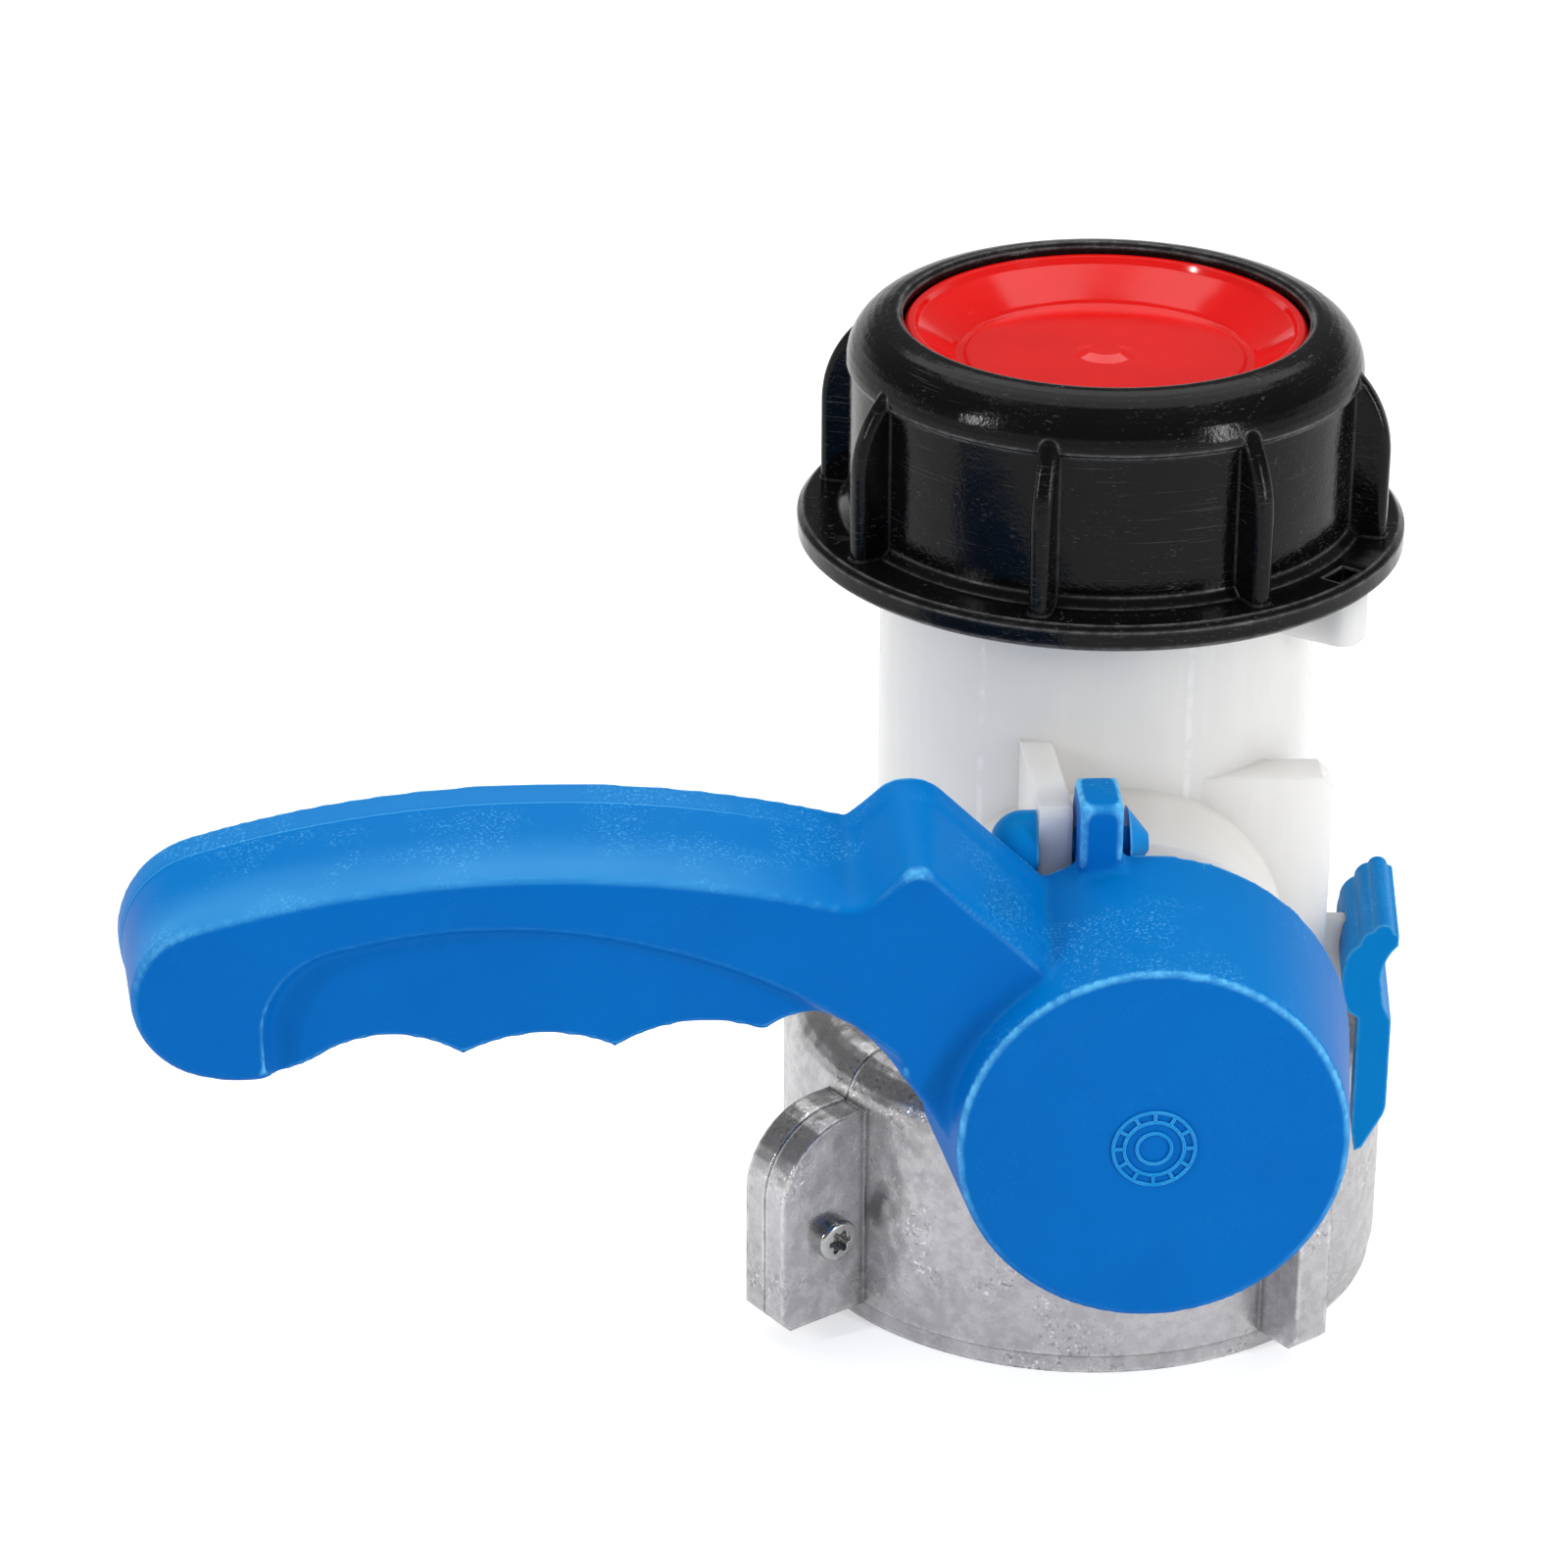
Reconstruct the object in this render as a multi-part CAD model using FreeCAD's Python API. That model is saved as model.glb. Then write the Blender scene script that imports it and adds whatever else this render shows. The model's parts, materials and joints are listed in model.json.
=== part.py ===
import FreeCAD, Part
import math
import os

V = FreeCAD.Vector

# A tank outlet valve, in millimetres. The flow line is the Z axis and the
# collar's lower edge lies at height zero. The stem runs along Y, the lever
# points along -X when the valve is shut.

# Flow tube
BORE_R = 25.0
TUBE_WALL = 5.0
STEM_HEIGHT = 60.0
TUBE_TOP = 130.2

# Clearances
RUN_GAP = 0.05
SLIDE_GAP = 0.3
LOOSE_GAP = 1.0
THREAD_GAP = 0.4

# How close an edge lies to where it is looked for
NEAR = 0.01

# Collar that screws onto the tank neck
COLLAR_R = 43.0
COLLAR_WALL = 5.2
COLLAR_HEIGHT = 41.0
COLLAR_SHOULDER_R = 7.0
COLLAR_CROWN = 1.0
COLLAR_TOP_R = 35.2
COLLAR_TOP_EDGE = 0.5
COLLAR_BAND = 3.0
COLLAR_BAND_STEP = 0.5
COLLAR_MOUTH = 1.5
COLLAR_SEAM = 0.3
COLLAR_TURN = -145.7
INLET_CREST_R = 35.3
INLET_THREAD_UNDER_FLANGE = 6.2

# Ears on the collar
EAR_BOTTOM = 3.0
EAR_UNDER_TOP = 7.0
EAR_ROUND = 11.5
EAR_CORNER = 1.4
LONG_EAR_R = 57.0
SHORT_EAR_R = 50.5
SPLIT_EAR_THICK = 8.4
PLAIN_EAR_THICK = 5.5
SCREW_HEIGHT = 16.0
SCREW_SHANK_R = 1.9
SCREW_HEAD_R = 3.1
SCREW_HEAD_HIGH = 2.2
SCREW_HEAD_ROUND = 0.7
STAR_DEEP = 1.5
STAR_R = 1.3
STAR_LOBES = 6
STAR_LOBE_R = 0.43
STAR_LOBE_PLACE = 1.43
LONG_EAR_SCREW_R = 48.6
SHORT_EAR_SCREW_R = 46.7

# Screw threads, both of the same coarse pitch
PITCH = 6.0
THREAD_ROOT = 3.2
THREAD_CREST = 1.3
THREAD_DEEP = 2.1
THREAD_SHY = 0.2
THREAD_SINK = 0.4
OUTLET_THREAD_TURNS = 1.8
CAP_THREAD_TURNS = 2.25
BREAK_EDGE = 0.8

# Flange of the body inside the collar, and its gasket
COLLAR_ROOF = 4.2
FLANGE_THICK = 5.6
SPIGOT_WALL = 3.4
SPIGOT_LENGTH = 4.5
GASKET_THICK = 4.0
GASKET_SEAT = 1.5
GASKET_WIDTH = 7.0

# Stem boss and square shoulder on the body
BOSS_R = 24.0
BOSS_REACH = 46.0
SHOULDER_REACH = 27.5
SHOULDER_THICK = 6.0
SHOULDER_OVER_STEM = 24.0
SHOULDER_OVER_COLLAR = 5.0
SHOULDER_RIGHT = 29.8
SHOULDER_CORNER = 1.5
REAR_BOSS_R = 9.5
REAR_BOSS_REACH = 37.0

# Stem
JOURNAL_R = 7.5
REAR_JOURNAL_R = 5.0
REAR_JOURNAL_END = 33.0
SQUARE = 10.0
SQUARE_SHY = 8.6
SQUARE_INSIDE_BORE = 1.5
WASHER_THICK = 1.2
WASHER_R = 12.0
ORING_CORD_R = 0.9
ORING_PLACES = (30.5, 38.0)

# Butterfly disc
DISC_R = 24.4
DISC_THICK = 7.0
DISC_BOSS_R = 9.5
SEAL_R = 24.85
SEAL_DEEP = 2.3
SEAL_HALF_HIGH = 1.8
DISC_PIN_R = 2.0
DISC_PIN_PLACE = 14.0

# Lever: hub
HUB_OVER_BOSS = 12.4
HUB_DEEP = 26.2
HUB_FRONT_R = 24.9
DRAFT = 0.141
HUB_WALL = 3.0
HUB_FLOOR = 3.5
HUB_EDGE_ROUND = 0.8
SOCKET_R = 10.5
LEVER_PIN_R = 1.5
LEVER_PIN_OVER_BACK = 5.6
DIAL_RINGS = (5.4, 3.1)
DIAL_TICK_START = 3.6
DIAL_TICK_LONG = 1.0
DIAL_LINE = 0.3
DIAL_PROUD = 0.2
DIAL_TICKS = 12

# Lever: grip, as distances left of the stem and above it
HUB_PROUD = 5.0
SEAM_OVER_BACK = 4.6
EDGE_ROUND = 1.2
SEAM_STEP = 0.3
BACK_ROUND = 0.5
GRIP_END_R = 9.6
GRIP_END_LEFT = 117.3
GRIP_END_UP = 20.0
GRIP_TOP_TURN = 0.31
GRIP_HEEL_TURN = 0.40
GRIP_TOP_LEFT = 78.7
GRIP_TOP_UP = 35.7
GRIP_LOBE_LEFT = 113.9
GRIP_LOBE_UP = 10.1
SCALLOP_LEFTS = (36.8, 49.3, 67.9, 87.0, 106.5)
SCALLOP_UPS = (15.9, 15.5, 13.6, 12.9, 12.2)
SCALLOP_MID_UPS = (17.8, 16.7, 15.4, 15.5)
RECESS_DEEP = 2.4
RECESS_LEAD = 0.5
RECESS_DRAFT = 1.2

# Front view of the lever from the neck over the peak to the foot of the hub:
# the start of each step, and a point on its arc where it isn't straight
LEVER_STEPS = (
    ((38.8, 30.7), (36.4, 31.1)),
    ((34.3, 32.4), None),
    ((31.2, 35.2), (30.0, 35.8)),
    ((28.8, 35.2), None),
    ((11.5, 18.8), None),
    ((14.0, 2.0), None),
    ((23.9, -2.6), (30.4, 8.2)))

# The finger recess in the same view
RECESS_STEPS = (
    ((111.5, 2.0), None),
    ((111.9, 15.0), (108.8, 23.2)),
    ((101.0, 27.3), (80.7, 29.7)),
    ((62.0, 26.6), (46.5, 20.6)),
    ((31.5, 10.2), None),
    ((31.5, 2.0), None))

# Seal tab on the hub, seal ear on the body and the pin through both
SEAL_PIN_OVER_STEM = 27.5
SEAL_PIN_BEHIND_HUB = 5.4
SEAL_PIN_R = 2.1
SEAL_HEAD_R = 4.4
SEAL_HEAD_LONG = 5.6
SEAL_HEAD_RIM = 1.6
BARB_R = 4.8
BARB_TIP_R = 1.2
BARB_NECK = 1.4
BARB_LONG = 2.8
TAB_WIDTH = 5.6
TAB_RIGHT = 2.5
TAB_FOOT_DEEP = 3.6
TAB_EYE = 3.4
TAB_UNDER_PIN = 4.2
TAB_OVER_PIN = 9.5
SEAL_EAR_WIDTH = 4.3
SEAL_EAR_GAP = 0.5
SEAL_EAR_EYE = 4.0
SEAL_EAR_OVER_PIN = 6.8
SEAL_EAR_SLOPE = 4.0

# Locking slide between the collar's ears, and its rail
SLIDE_FRONT = 34.0
SLIDE_BACK = 13.0
SLIDE_TURN = 6.0
SLIDE_OVER_COLLAR = 7.0
BLADE_BACK = 28.2
BLADE_INNER = 33.8
RAIL_BACK = 19.0
RAIL_FRONT = 25.0
RAIL_LONG = 11.0
RAIL_STEP = 1.8
RAIL_HEAD_THICK = 1.6
RAIL_FACE = 35.0
RAIL_ROOT = 20.0

# Front view of the locking slide: the start of each step, and a point on its
# arc where it isn't straight, as distances right of the blade's inner face and
# above the collar's top
SLIDE_STEPS = (
    ((-2.4, 16.6), None),
    ((-2.2, 17.6), (-1.6, 19.6)),
    ((-0.3, 20.8), (0.1, 22.1)),
    ((1.5, 23.0), (2.8, 24.0)),
    ((4.2, 22.8), None),
    ((4.9, 22.5), None),
    ((4.9, 20.9), (3.2, 18.1)),
    ((3.1, 14.0), (3.5, 11.4)),
    ((4.5, 9.4), None),
    ((4.5, -3.6), (4.3, -4.9)),
    ((3.8, -6.0), None),
    ((1.5, -10.6), None),
    ((0.5, -11.1), None),
    ((0.0, -8.0), None),
    ((0.0, 9.6), None),
    ((-1.4, 10.6), (-2.3, 13.4)))

# Screw cap, with its heights measured from the tube's top
CAP_SKIRT = 21.0
CAP_RISE = 10.6
CAP_FLANGE_R = 41.5
CAP_FLANGE_THICK = 3.5
CAP_FLANGE_CORNER = 0.5
CAP_FLANGE_EDGE = 0.8
CAP_FILLET = 1.2
CAP_WALL_R = 34.5
CAP_DOME_R = 6.9
CAP_DOME_STEP = 0.5
CAP_MOUTH_R = 27.4
CAP_MOUTH_EDGE = 0.6
CAP_LIP_THICK = 5.6
RIB_COUNT = 8
RIB_TURN = -17.7
RIB_R = 39.4
RIB_THICK = 2.8
RIB_EDGE = 1.1
RIB_UNDER_TOP = 2.4
RIB_ROUND = 16.0
WIRE_SLOT_R = 37.4
WIRE_SLOT_LONG = 5.0
WIRE_SLOT_WIDE = 2.8

# Small ear for a seal wire, under the cap
WIRE_EAR_TURN = -34.0
WIRE_EAR_R = 40.0
WIRE_EAR_THICK = 7.0
WIRE_EAR_HIGH = 6.6
WIRE_EAR_ROUND = 2.4
WIRE_HOLE_R = 1.3
WIRE_HOLE_IN = 3.6

# Insert in the cap, and the cap gasket
INSERT_FLANGE_R = 29.5
INSERT_FLANGE_THICK = 2.6
INSERT_WALL = 1.6
DISH_LIP_DEEP = 1.4
DISH_LIP_WIDE = 1.3
DISH_FLOOR_DEEP = 5.9
DISH_FLOOR_R = 20.2
DISH_PLATE_R = 18.7
DISH_TROUGH = 0.45
BUTTON_R = 4.0
BUTTON_TOP_R = 2.3
BUTTON_HIGH = 0.6
CAP_GASKET_THICK = 2.0

# Sizes that follow from those above
TUBE_R = BORE_R + TUBE_WALL
COLLAR_ROOM_R = COLLAR_R - COLLAR_WALL
COLLAR_SIDE = COLLAR_HEIGHT - COLLAR_CROWN - COLLAR_SHOULDER_R
EAR_TOP = COLLAR_HEIGHT - EAR_UNDER_TOP
FLANGE_TOP = COLLAR_HEIGHT - COLLAR_ROOF
FLANGE_BOTTOM = FLANGE_TOP - FLANGE_THICK
INLET_THREAD_TOP = FLANGE_BOTTOM - INLET_THREAD_UNDER_FLANGE
FLANGE_R = COLLAR_ROOM_R - 2 * SLIDE_GAP
SPIGOT_R = BORE_R + SPIGOT_WALL
SHOULDER_TOP = STEM_HEIGHT + SHOULDER_OVER_STEM
SHOULDER_BOTTOM = COLLAR_HEIGHT + SHOULDER_OVER_COLLAR
CAP_BOTTOM = TUBE_TOP - CAP_SKIRT
CAP_TOP = TUBE_TOP + CAP_RISE
CAP_DOME_START = CAP_TOP - CAP_DOME_R
CAP_LIP_UNDER = CAP_TOP - CAP_LIP_THICK
RIB_TOP = CAP_TOP - RIB_UNDER_TOP
DISH_LIP_TOP = CAP_TOP - DISH_LIP_DEEP
DISH_FLOOR_TOP = CAP_TOP - DISH_FLOOR_DEEP
WIRE_EAR_TOP = CAP_BOTTOM - BREAK_EDGE
WIRE_EAR_BOTTOM = WIRE_EAR_TOP - WIRE_EAR_HIGH
THREAD_TOP_R = TUBE_R - THREAD_SHY
THREAD_ROOT_R = THREAD_TOP_R - THREAD_DEEP
CAP_ROOM_R = THREAD_TOP_R + THREAD_GAP
TUBE_STEP = CAP_BOTTOM + SLIDE_GAP
OUTLET_THREAD_HIGH = TUBE_TOP - PITCH / 2
OUTLET_THREAD_LOW = OUTLET_THREAD_HIGH - OUTLET_THREAD_TURNS * PITCH
CAP_THREAD_LOW = OUTLET_THREAD_LOW - PITCH / 2
CAP_THREAD_HIGH = CAP_THREAD_LOW + CAP_THREAD_TURNS * PITCH
HUB_BACK = BOSS_REACH + HUB_OVER_BOSS
HUB_FRONT = HUB_BACK + HUB_DEEP
HUB_BACK_R = HUB_FRONT_R + DRAFT * HUB_DEEP
LEVER_FRONT = HUB_FRONT - HUB_PROUD
LEVER_SEAM = HUB_BACK + SEAM_OVER_BACK
LEVER_PIN_PLACE = HUB_BACK + LEVER_PIN_OVER_BACK
STEM_END = HUB_FRONT - SQUARE_SHY
SOCKET_END = BOSS_REACH + WASHER_THICK + SLIDE_GAP
SQUARE_END = BORE_R - SQUARE_INSIDE_BORE
SEAL_PIN_Y = HUB_BACK - SEAL_PIN_BEHIND_HUB
SEAL_PIN_Z = STEM_HEIGHT + SEAL_PIN_OVER_STEM
TAB_FRONT = HUB_BACK + TAB_FOOT_DEEP
TAB_BACK = SEAL_PIN_Y - TAB_EYE
TAB_TOP = SEAL_PIN_Z + TAB_OVER_PIN
TAB_LEFT_X = -TAB_RIGHT - TAB_WIDTH
SEAL_EAR_FRONT = SEAL_PIN_Y + SEAL_EAR_EYE
SEAL_EAR_TOP = SEAL_PIN_Z + SEAL_EAR_OVER_PIN
SHEAR_X = TAB_LEFT_X - SEAL_EAR_GAP / 2
EAR_LEFT_X = TAB_LEFT_X - SEAL_EAR_GAP - SEAL_EAR_WIDTH
SLIDE_FOOT = COLLAR_HEIGHT + SLIDE_OVER_COLLAR
RAIL_BOTTOM = SLIDE_FOOT + LOOSE_GAP
RAIL_TOP = RAIL_BOTTOM + RAIL_LONG


def save(shape, name):
    """Write one sub-part as a solid of its own."""
    if not shape.isValid():
        raise ValueError(name + " is not a valid shape")
    shape.exportStep("parts/" + name + ".step")
    print(name, len(shape.Solids), round(shape.Volume, 1))


def cylinder_z(radius, low, high):
    return Part.makeCylinder(radius, high - low, V(0, 0, low))


def cylinder_y(radius, start, end):
    """A round bar on the stem's axis, from start to end."""
    return Part.makeCylinder(radius, end - start, V(0, start, STEM_HEIGHT), V(0, 1, 0))


def pin_z(radius, place, half):
    """A pin along Z through the stem's axis, at a place in front of the bore."""
    return Part.makeCylinder(radius, 2 * half, V(0, -place, STEM_HEIGHT - half))


def bar_y(width, height, start, end):
    """A bar of oblong section along the stem's axis."""
    corner = V(-width / 2, start, STEM_HEIGHT - height / 2)
    return Part.makeBox(width, end - start, height, corner)


def revolved(outline):
    """Turn a closed outline of (radius, height) points about the flow line."""
    points = [V(radius, 0, height) for radius, height in outline]
    face = Part.Face(Part.makePolygon(points + points[:1]))
    return face.revolve(V(0, 0, 0), V(0, 0, 1), 360)


def turned(shape, degrees):
    shape = shape.copy()
    shape.rotate(V(0, 0, 0), V(0, 0, 1), degrees)
    return shape


def round_points(centre, radius, first, last, count):
    """Points on an arc, from one angle to the other, in degrees."""
    points = []
    for step in range(count + 1):
        angle = math.radians(first + (last - first) * step / count)
        points.append((centre[0] + radius * math.cos(angle), centre[1] + radius * math.sin(angle)))
    return points


def flat_yz(points, x, thick):
    """A plate of the given outline in Y and Z, from x on for its thickness."""
    corners = [V(x, y, z) for y, z in points]
    return Part.Face(Part.makePolygon(corners + corners[:1])).extrude(V(thick, 0, 0))


def flat_xz(points, y, thick):
    """A plate of the given outline in X and Z, from y on for its thickness."""
    corners = [V(x, y, z) for x, z in points]
    return Part.Face(Part.makePolygon(corners + corners[:1])).extrude(V(0, thick, 0))


def thread_ridge(base_r, crest_r, low, high):
    """A coarse ridge wound on a cylinder, with its crest in or out."""
    path = Part.makeHelix(PITCH, high - low, base_r)
    path.translate(V(0, 0, low))
    half_root = THREAD_ROOT / 2
    half_crest = THREAD_CREST / 2
    corners = [V(base_r, 0, low - half_root), V(crest_r, 0, low - half_crest),
               V(crest_r, 0, low + half_crest), V(base_r, 0, low + half_root)]
    section = Part.makePolygon(corners + corners[:1])
    return Part.Wire(path).makePipeShell([section], True, True)


# Body of the valve

def body_tube():
    return revolved([
        (BORE_R, FLANGE_BOTTOM - SPIGOT_LENGTH), (SPIGOT_R, FLANGE_BOTTOM - SPIGOT_LENGTH),
        (SPIGOT_R, FLANGE_BOTTOM), (FLANGE_R, FLANGE_BOTTOM), (FLANGE_R, FLANGE_TOP),
        (TUBE_R, FLANGE_TOP), (TUBE_R, TUBE_STEP), (THREAD_ROOT_R, TUBE_STEP + BREAK_EDGE),
        (THREAD_ROOT_R, TUBE_TOP - BREAK_EDGE), (THREAD_ROOT_R - BREAK_EDGE, TUBE_TOP), (BORE_R, TUBE_TOP)])


def outlet_thread():
    return thread_ridge(THREAD_ROOT_R - THREAD_SINK, THREAD_TOP_R, OUTLET_THREAD_LOW, OUTLET_THREAD_HIGH)


def gasket_ring():
    seat = FLANGE_BOTTOM + GASKET_SEAT
    ring = cylinder_z(SPIGOT_R + GASKET_WIDTH, seat - GASKET_THICK, seat)
    return ring.cut(cylinder_z(SPIGOT_R, seat - GASKET_THICK, seat))


def stem_tower():
    """Round boss that carries the stem, flat above the collar, with its square shoulder."""
    over_collar = COLLAR_HEIGHT + LOOSE_GAP
    boss = cylinder_y(BOSS_R, -BOSS_REACH, 0)
    boss = boss.cut(Part.makeBox(2 * BOSS_R, BOSS_REACH, over_collar, V(-BOSS_R, -BOSS_REACH, 0)))
    shoulder = flat_xz([(0, SHOULDER_BOTTOM), (SHOULDER_RIGHT, SHOULDER_BOTTOM),
                        (SHOULDER_RIGHT, SHOULDER_TOP - SHOULDER_CORNER),
                        (SHOULDER_RIGHT - SHOULDER_CORNER, SHOULDER_TOP), (0, SHOULDER_TOP)],
                       -SHOULDER_REACH, SHOULDER_THICK)
    rear = cylinder_y(REAR_BOSS_R, 0, REAR_BOSS_REACH)
    return boss.fuse([shoulder, rear])


def slide_frame(shape):
    """Turn a shape about the flow line as the locking slide is turned."""
    shape = shape.copy()
    shape.rotate(V(BLADE_INNER, -SLIDE_FRONT, 0), V(0, 0, 1), -SLIDE_TURN)
    return shape


def rail(gap, low):
    """Tee rail on the body; with a gap, the groove that runs on it."""
    high = RAIL_TOP + gap - low
    head_wide = RAIL_FRONT - RAIL_BACK + 2 * gap
    web_wide = head_wide - 2 * RAIL_STEP
    head = Part.makeBox(RAIL_HEAD_THICK + 2 * gap, head_wide, high,
                        V(RAIL_FACE - RAIL_HEAD_THICK - gap, -RAIL_FRONT - gap, low))
    web = Part.makeBox(RAIL_FACE - RAIL_ROOT, web_wide, high,
                       V(RAIL_ROOT, -RAIL_FRONT - gap + RAIL_STEP, low))
    return head.fuse(web)


def seal_ear():
    """Upright plate from the tube over the boss, and the pin's hole in it."""
    root = -BORE_R - TUBE_WALL / 2
    foot = STEM_HEIGHT + JOURNAL_R
    points = [(root, foot), (LOOSE_GAP - BOSS_REACH, foot), (-SEAL_EAR_FRONT, SEAL_PIN_Z - BARB_R),
              (-SEAL_EAR_FRONT, SEAL_EAR_TOP - BREAK_EDGE), (BREAK_EDGE - SEAL_EAR_FRONT, SEAL_EAR_TOP),
              (root, SEAL_EAR_TOP - SEAL_EAR_SLOPE)]
    hole = bar_x(SEAL_PIN_R + RUN_GAP, EAR_LEFT_X - LOOSE_GAP, TAB_LEFT_X)
    return flat_yz(points, EAR_LEFT_X, SEAL_EAR_WIDTH), hole


def outer_uprights(shape, reach):
    """The upright edges that lie furthest out along X, or round over there."""
    boxes = [(edge, edge.BoundBox) for edge in shape.Edges]
    return [edge for edge, box in boxes if box.YLength < NEAR < box.ZLength and box.XMax > reach - NEAR]


def wire_ear():
    root = BORE_R + TUBE_WALL / 2
    block = Part.makeBox(WIRE_EAR_R - root, WIRE_EAR_THICK, WIRE_EAR_HIGH,
                         V(root, -WIRE_EAR_THICK / 2, WIRE_EAR_BOTTOM))
    block = block.makeFillet(WIRE_EAR_ROUND, outer_uprights(block, WIRE_EAR_R))
    hole = cylinder_z(WIRE_HOLE_R, WIRE_EAR_BOTTOM - LOOSE_GAP, WIRE_EAR_TOP + LOOSE_GAP)
    hole.translate(V(WIRE_EAR_R - WIRE_HOLE_IN, 0, 0))
    return turned(block.cut(hole), WIRE_EAR_TURN)


def valve_body():
    ear, ear_hole = seal_ear()
    body = body_tube().fuse([stem_tower(), ear, wire_ear(), slide_frame(rail(0.0, RAIL_BOTTOM))])
    body = body.cut(cylinder_z(BORE_R, FLANGE_BOTTOM - SPIGOT_LENGTH - 1, TUBE_TOP + 1))
    body = body.cut([
        ear_hole, gasket_ring(),
        cylinder_y(JOURNAL_R + RUN_GAP, -BOSS_REACH - LOOSE_GAP, 0),
        cylinder_y(REAR_JOURNAL_R + RUN_GAP, 0, REAR_JOURNAL_END + SLIDE_GAP)])
    return body.removeSplitter().fuse(outlet_thread())


# Collar in two halves

def collar_ring():
    band_r = COLLAR_R - COLLAR_BAND_STEP
    outer = [(band_r, 0), (band_r, COLLAR_BAND - COLLAR_BAND_STEP), (COLLAR_R, COLLAR_BAND)]
    outer += round_points((COLLAR_R - COLLAR_SHOULDER_R, COLLAR_SIDE), COLLAR_SHOULDER_R, 0, 90, 8)
    top = [(COLLAR_TOP_R, COLLAR_HEIGHT - COLLAR_TOP_EDGE), (COLLAR_TOP_R - COLLAR_TOP_EDGE, COLLAR_HEIGHT),
           (TUBE_R + LOOSE_GAP, COLLAR_HEIGHT)]
    inner = [(TUBE_R + LOOSE_GAP, FLANGE_TOP + SLIDE_GAP), (COLLAR_ROOM_R, FLANGE_TOP + SLIDE_GAP),
             (COLLAR_ROOM_R, COLLAR_MOUTH), (COLLAR_ROOM_R + COLLAR_MOUTH, 0)]
    return revolved(outer + top + inner)


def inlet_thread():
    return thread_ridge(COLLAR_ROOM_R + THREAD_SINK, INLET_CREST_R, THREAD_ROOT / 2 + COLLAR_MOUTH,
                        INLET_THREAD_TOP - THREAD_ROOT / 2)


def collar_ear(tip, thick, degrees):
    """A flat ear standing out from the collar, rounded at its outer top."""
    root = COLLAR_ROOM_R + LOOSE_GAP
    rounding = min(EAR_ROUND, tip - COLLAR_R)
    outline = [(root, EAR_BOTTOM), (tip - EAR_CORNER, EAR_BOTTOM), (tip, EAR_BOTTOM + EAR_CORNER)]
    outline += round_points((tip - rounding, EAR_TOP - rounding), rounding, 0, 90, 10)
    outline += [(root, EAR_TOP)]
    plate = flat_xz(outline, -thick / 2, thick)
    return turned(plate, degrees)


def screw_axis(place_r, degrees):
    """Place a shape, drawn along +Z from the seam, at a split ear's screw."""
    placement = FreeCAD.Placement(V(0, 0, 0), FreeCAD.Rotation(V(0, 0, 1), degrees))
    across = FreeCAD.Placement(V(place_r, 0, SCREW_HEIGHT), FreeCAD.Rotation(V(1, 0, 0), -90))
    return placement.multiply(across)


def star_drive():
    deep = STAR_DEEP + BREAK_EDGE
    lobes = [turned(Part.makeCylinder(STAR_LOBE_R, deep, V(STAR_LOBE_PLACE, 0, 0)), 360 / STAR_LOBES * index)
             for index in range(STAR_LOBES)]
    return Part.makeCylinder(STAR_R, deep).fuse(lobes)


def collar_screw(place_r, degrees, side):
    """Head on the front half's ear, shank through both ears."""
    half = SPLIT_EAR_THICK / 2
    head = Part.makeCylinder(SCREW_HEAD_R, SCREW_HEAD_HIGH, V(0, 0, half))
    rim = [edge for edge in head.Edges if edge.BoundBox.ZMin > half + SCREW_HEAD_HIGH - NEAR]
    head = head.makeFillet(SCREW_HEAD_ROUND, rim)
    shank = Part.makeCylinder(SCREW_SHANK_R, SPLIT_EAR_THICK, V(0, 0, -half))
    star = star_drive()
    star.translate(V(0, 0, half + SCREW_HEAD_HIGH - STAR_DEEP))
    screw = head.fuse(shank).cut(star).removeSplitter()
    if side < 0:
        screw.rotate(V(0, 0, 0), V(1, 0, 0), 180)
    screw.Placement = screw_axis(place_r, degrees).multiply(screw.Placement)
    return screw


def screw_hole(place_r, degrees):
    length = SPLIT_EAR_THICK + 2 * LOOSE_GAP
    hole = Part.makeCylinder(SCREW_SHANK_R + RUN_GAP, length, V(0, 0, -length / 2))
    hole.Placement = screw_axis(place_r, degrees)
    return hole


def collar_halves():
    far = COLLAR_TURN + 180
    ring = collar_ring().fuse([
        collar_ear(LONG_EAR_R, SPLIT_EAR_THICK, COLLAR_TURN),
        collar_ear(SHORT_EAR_R, SPLIT_EAR_THICK, far),
        collar_ear(SHORT_EAR_R, PLAIN_EAR_THICK, COLLAR_TURN + 90),
        collar_ear(SHORT_EAR_R, PLAIN_EAR_THICK, COLLAR_TURN - 90)])
    ring = ring.cut([screw_hole(LONG_EAR_SCREW_R, COLLAR_TURN), screw_hole(SHORT_EAR_SCREW_R, far)])
    ring = ring.removeSplitter().fuse(inlet_thread())
    reach = LONG_EAR_R + SPLIT_EAR_THICK
    side = Part.makeBox(2 * reach, reach, COLLAR_HEIGHT + LOOSE_GAP, V(-reach, COLLAR_SEAM / 2, 0))
    front = ring.common(turned(side, COLLAR_TURN))
    rear = ring.common(turned(side, COLLAR_TURN + 180))
    return front, rear


# Stem, disc and seals

def oring(place):
    return Part.makeTorus(JOURNAL_R - ORING_CORD_R, ORING_CORD_R, V(0, -place, STEM_HEIGHT), V(0, 1, 0))


def oring_groove(place):
    half = ORING_CORD_R + RUN_GAP
    groove = cylinder_y(JOURNAL_R + LOOSE_GAP, -place - half, -place + half)
    return groove.cut(cylinder_y(JOURNAL_R - 2 * ORING_CORD_R, -place - half, -place + half))


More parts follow.
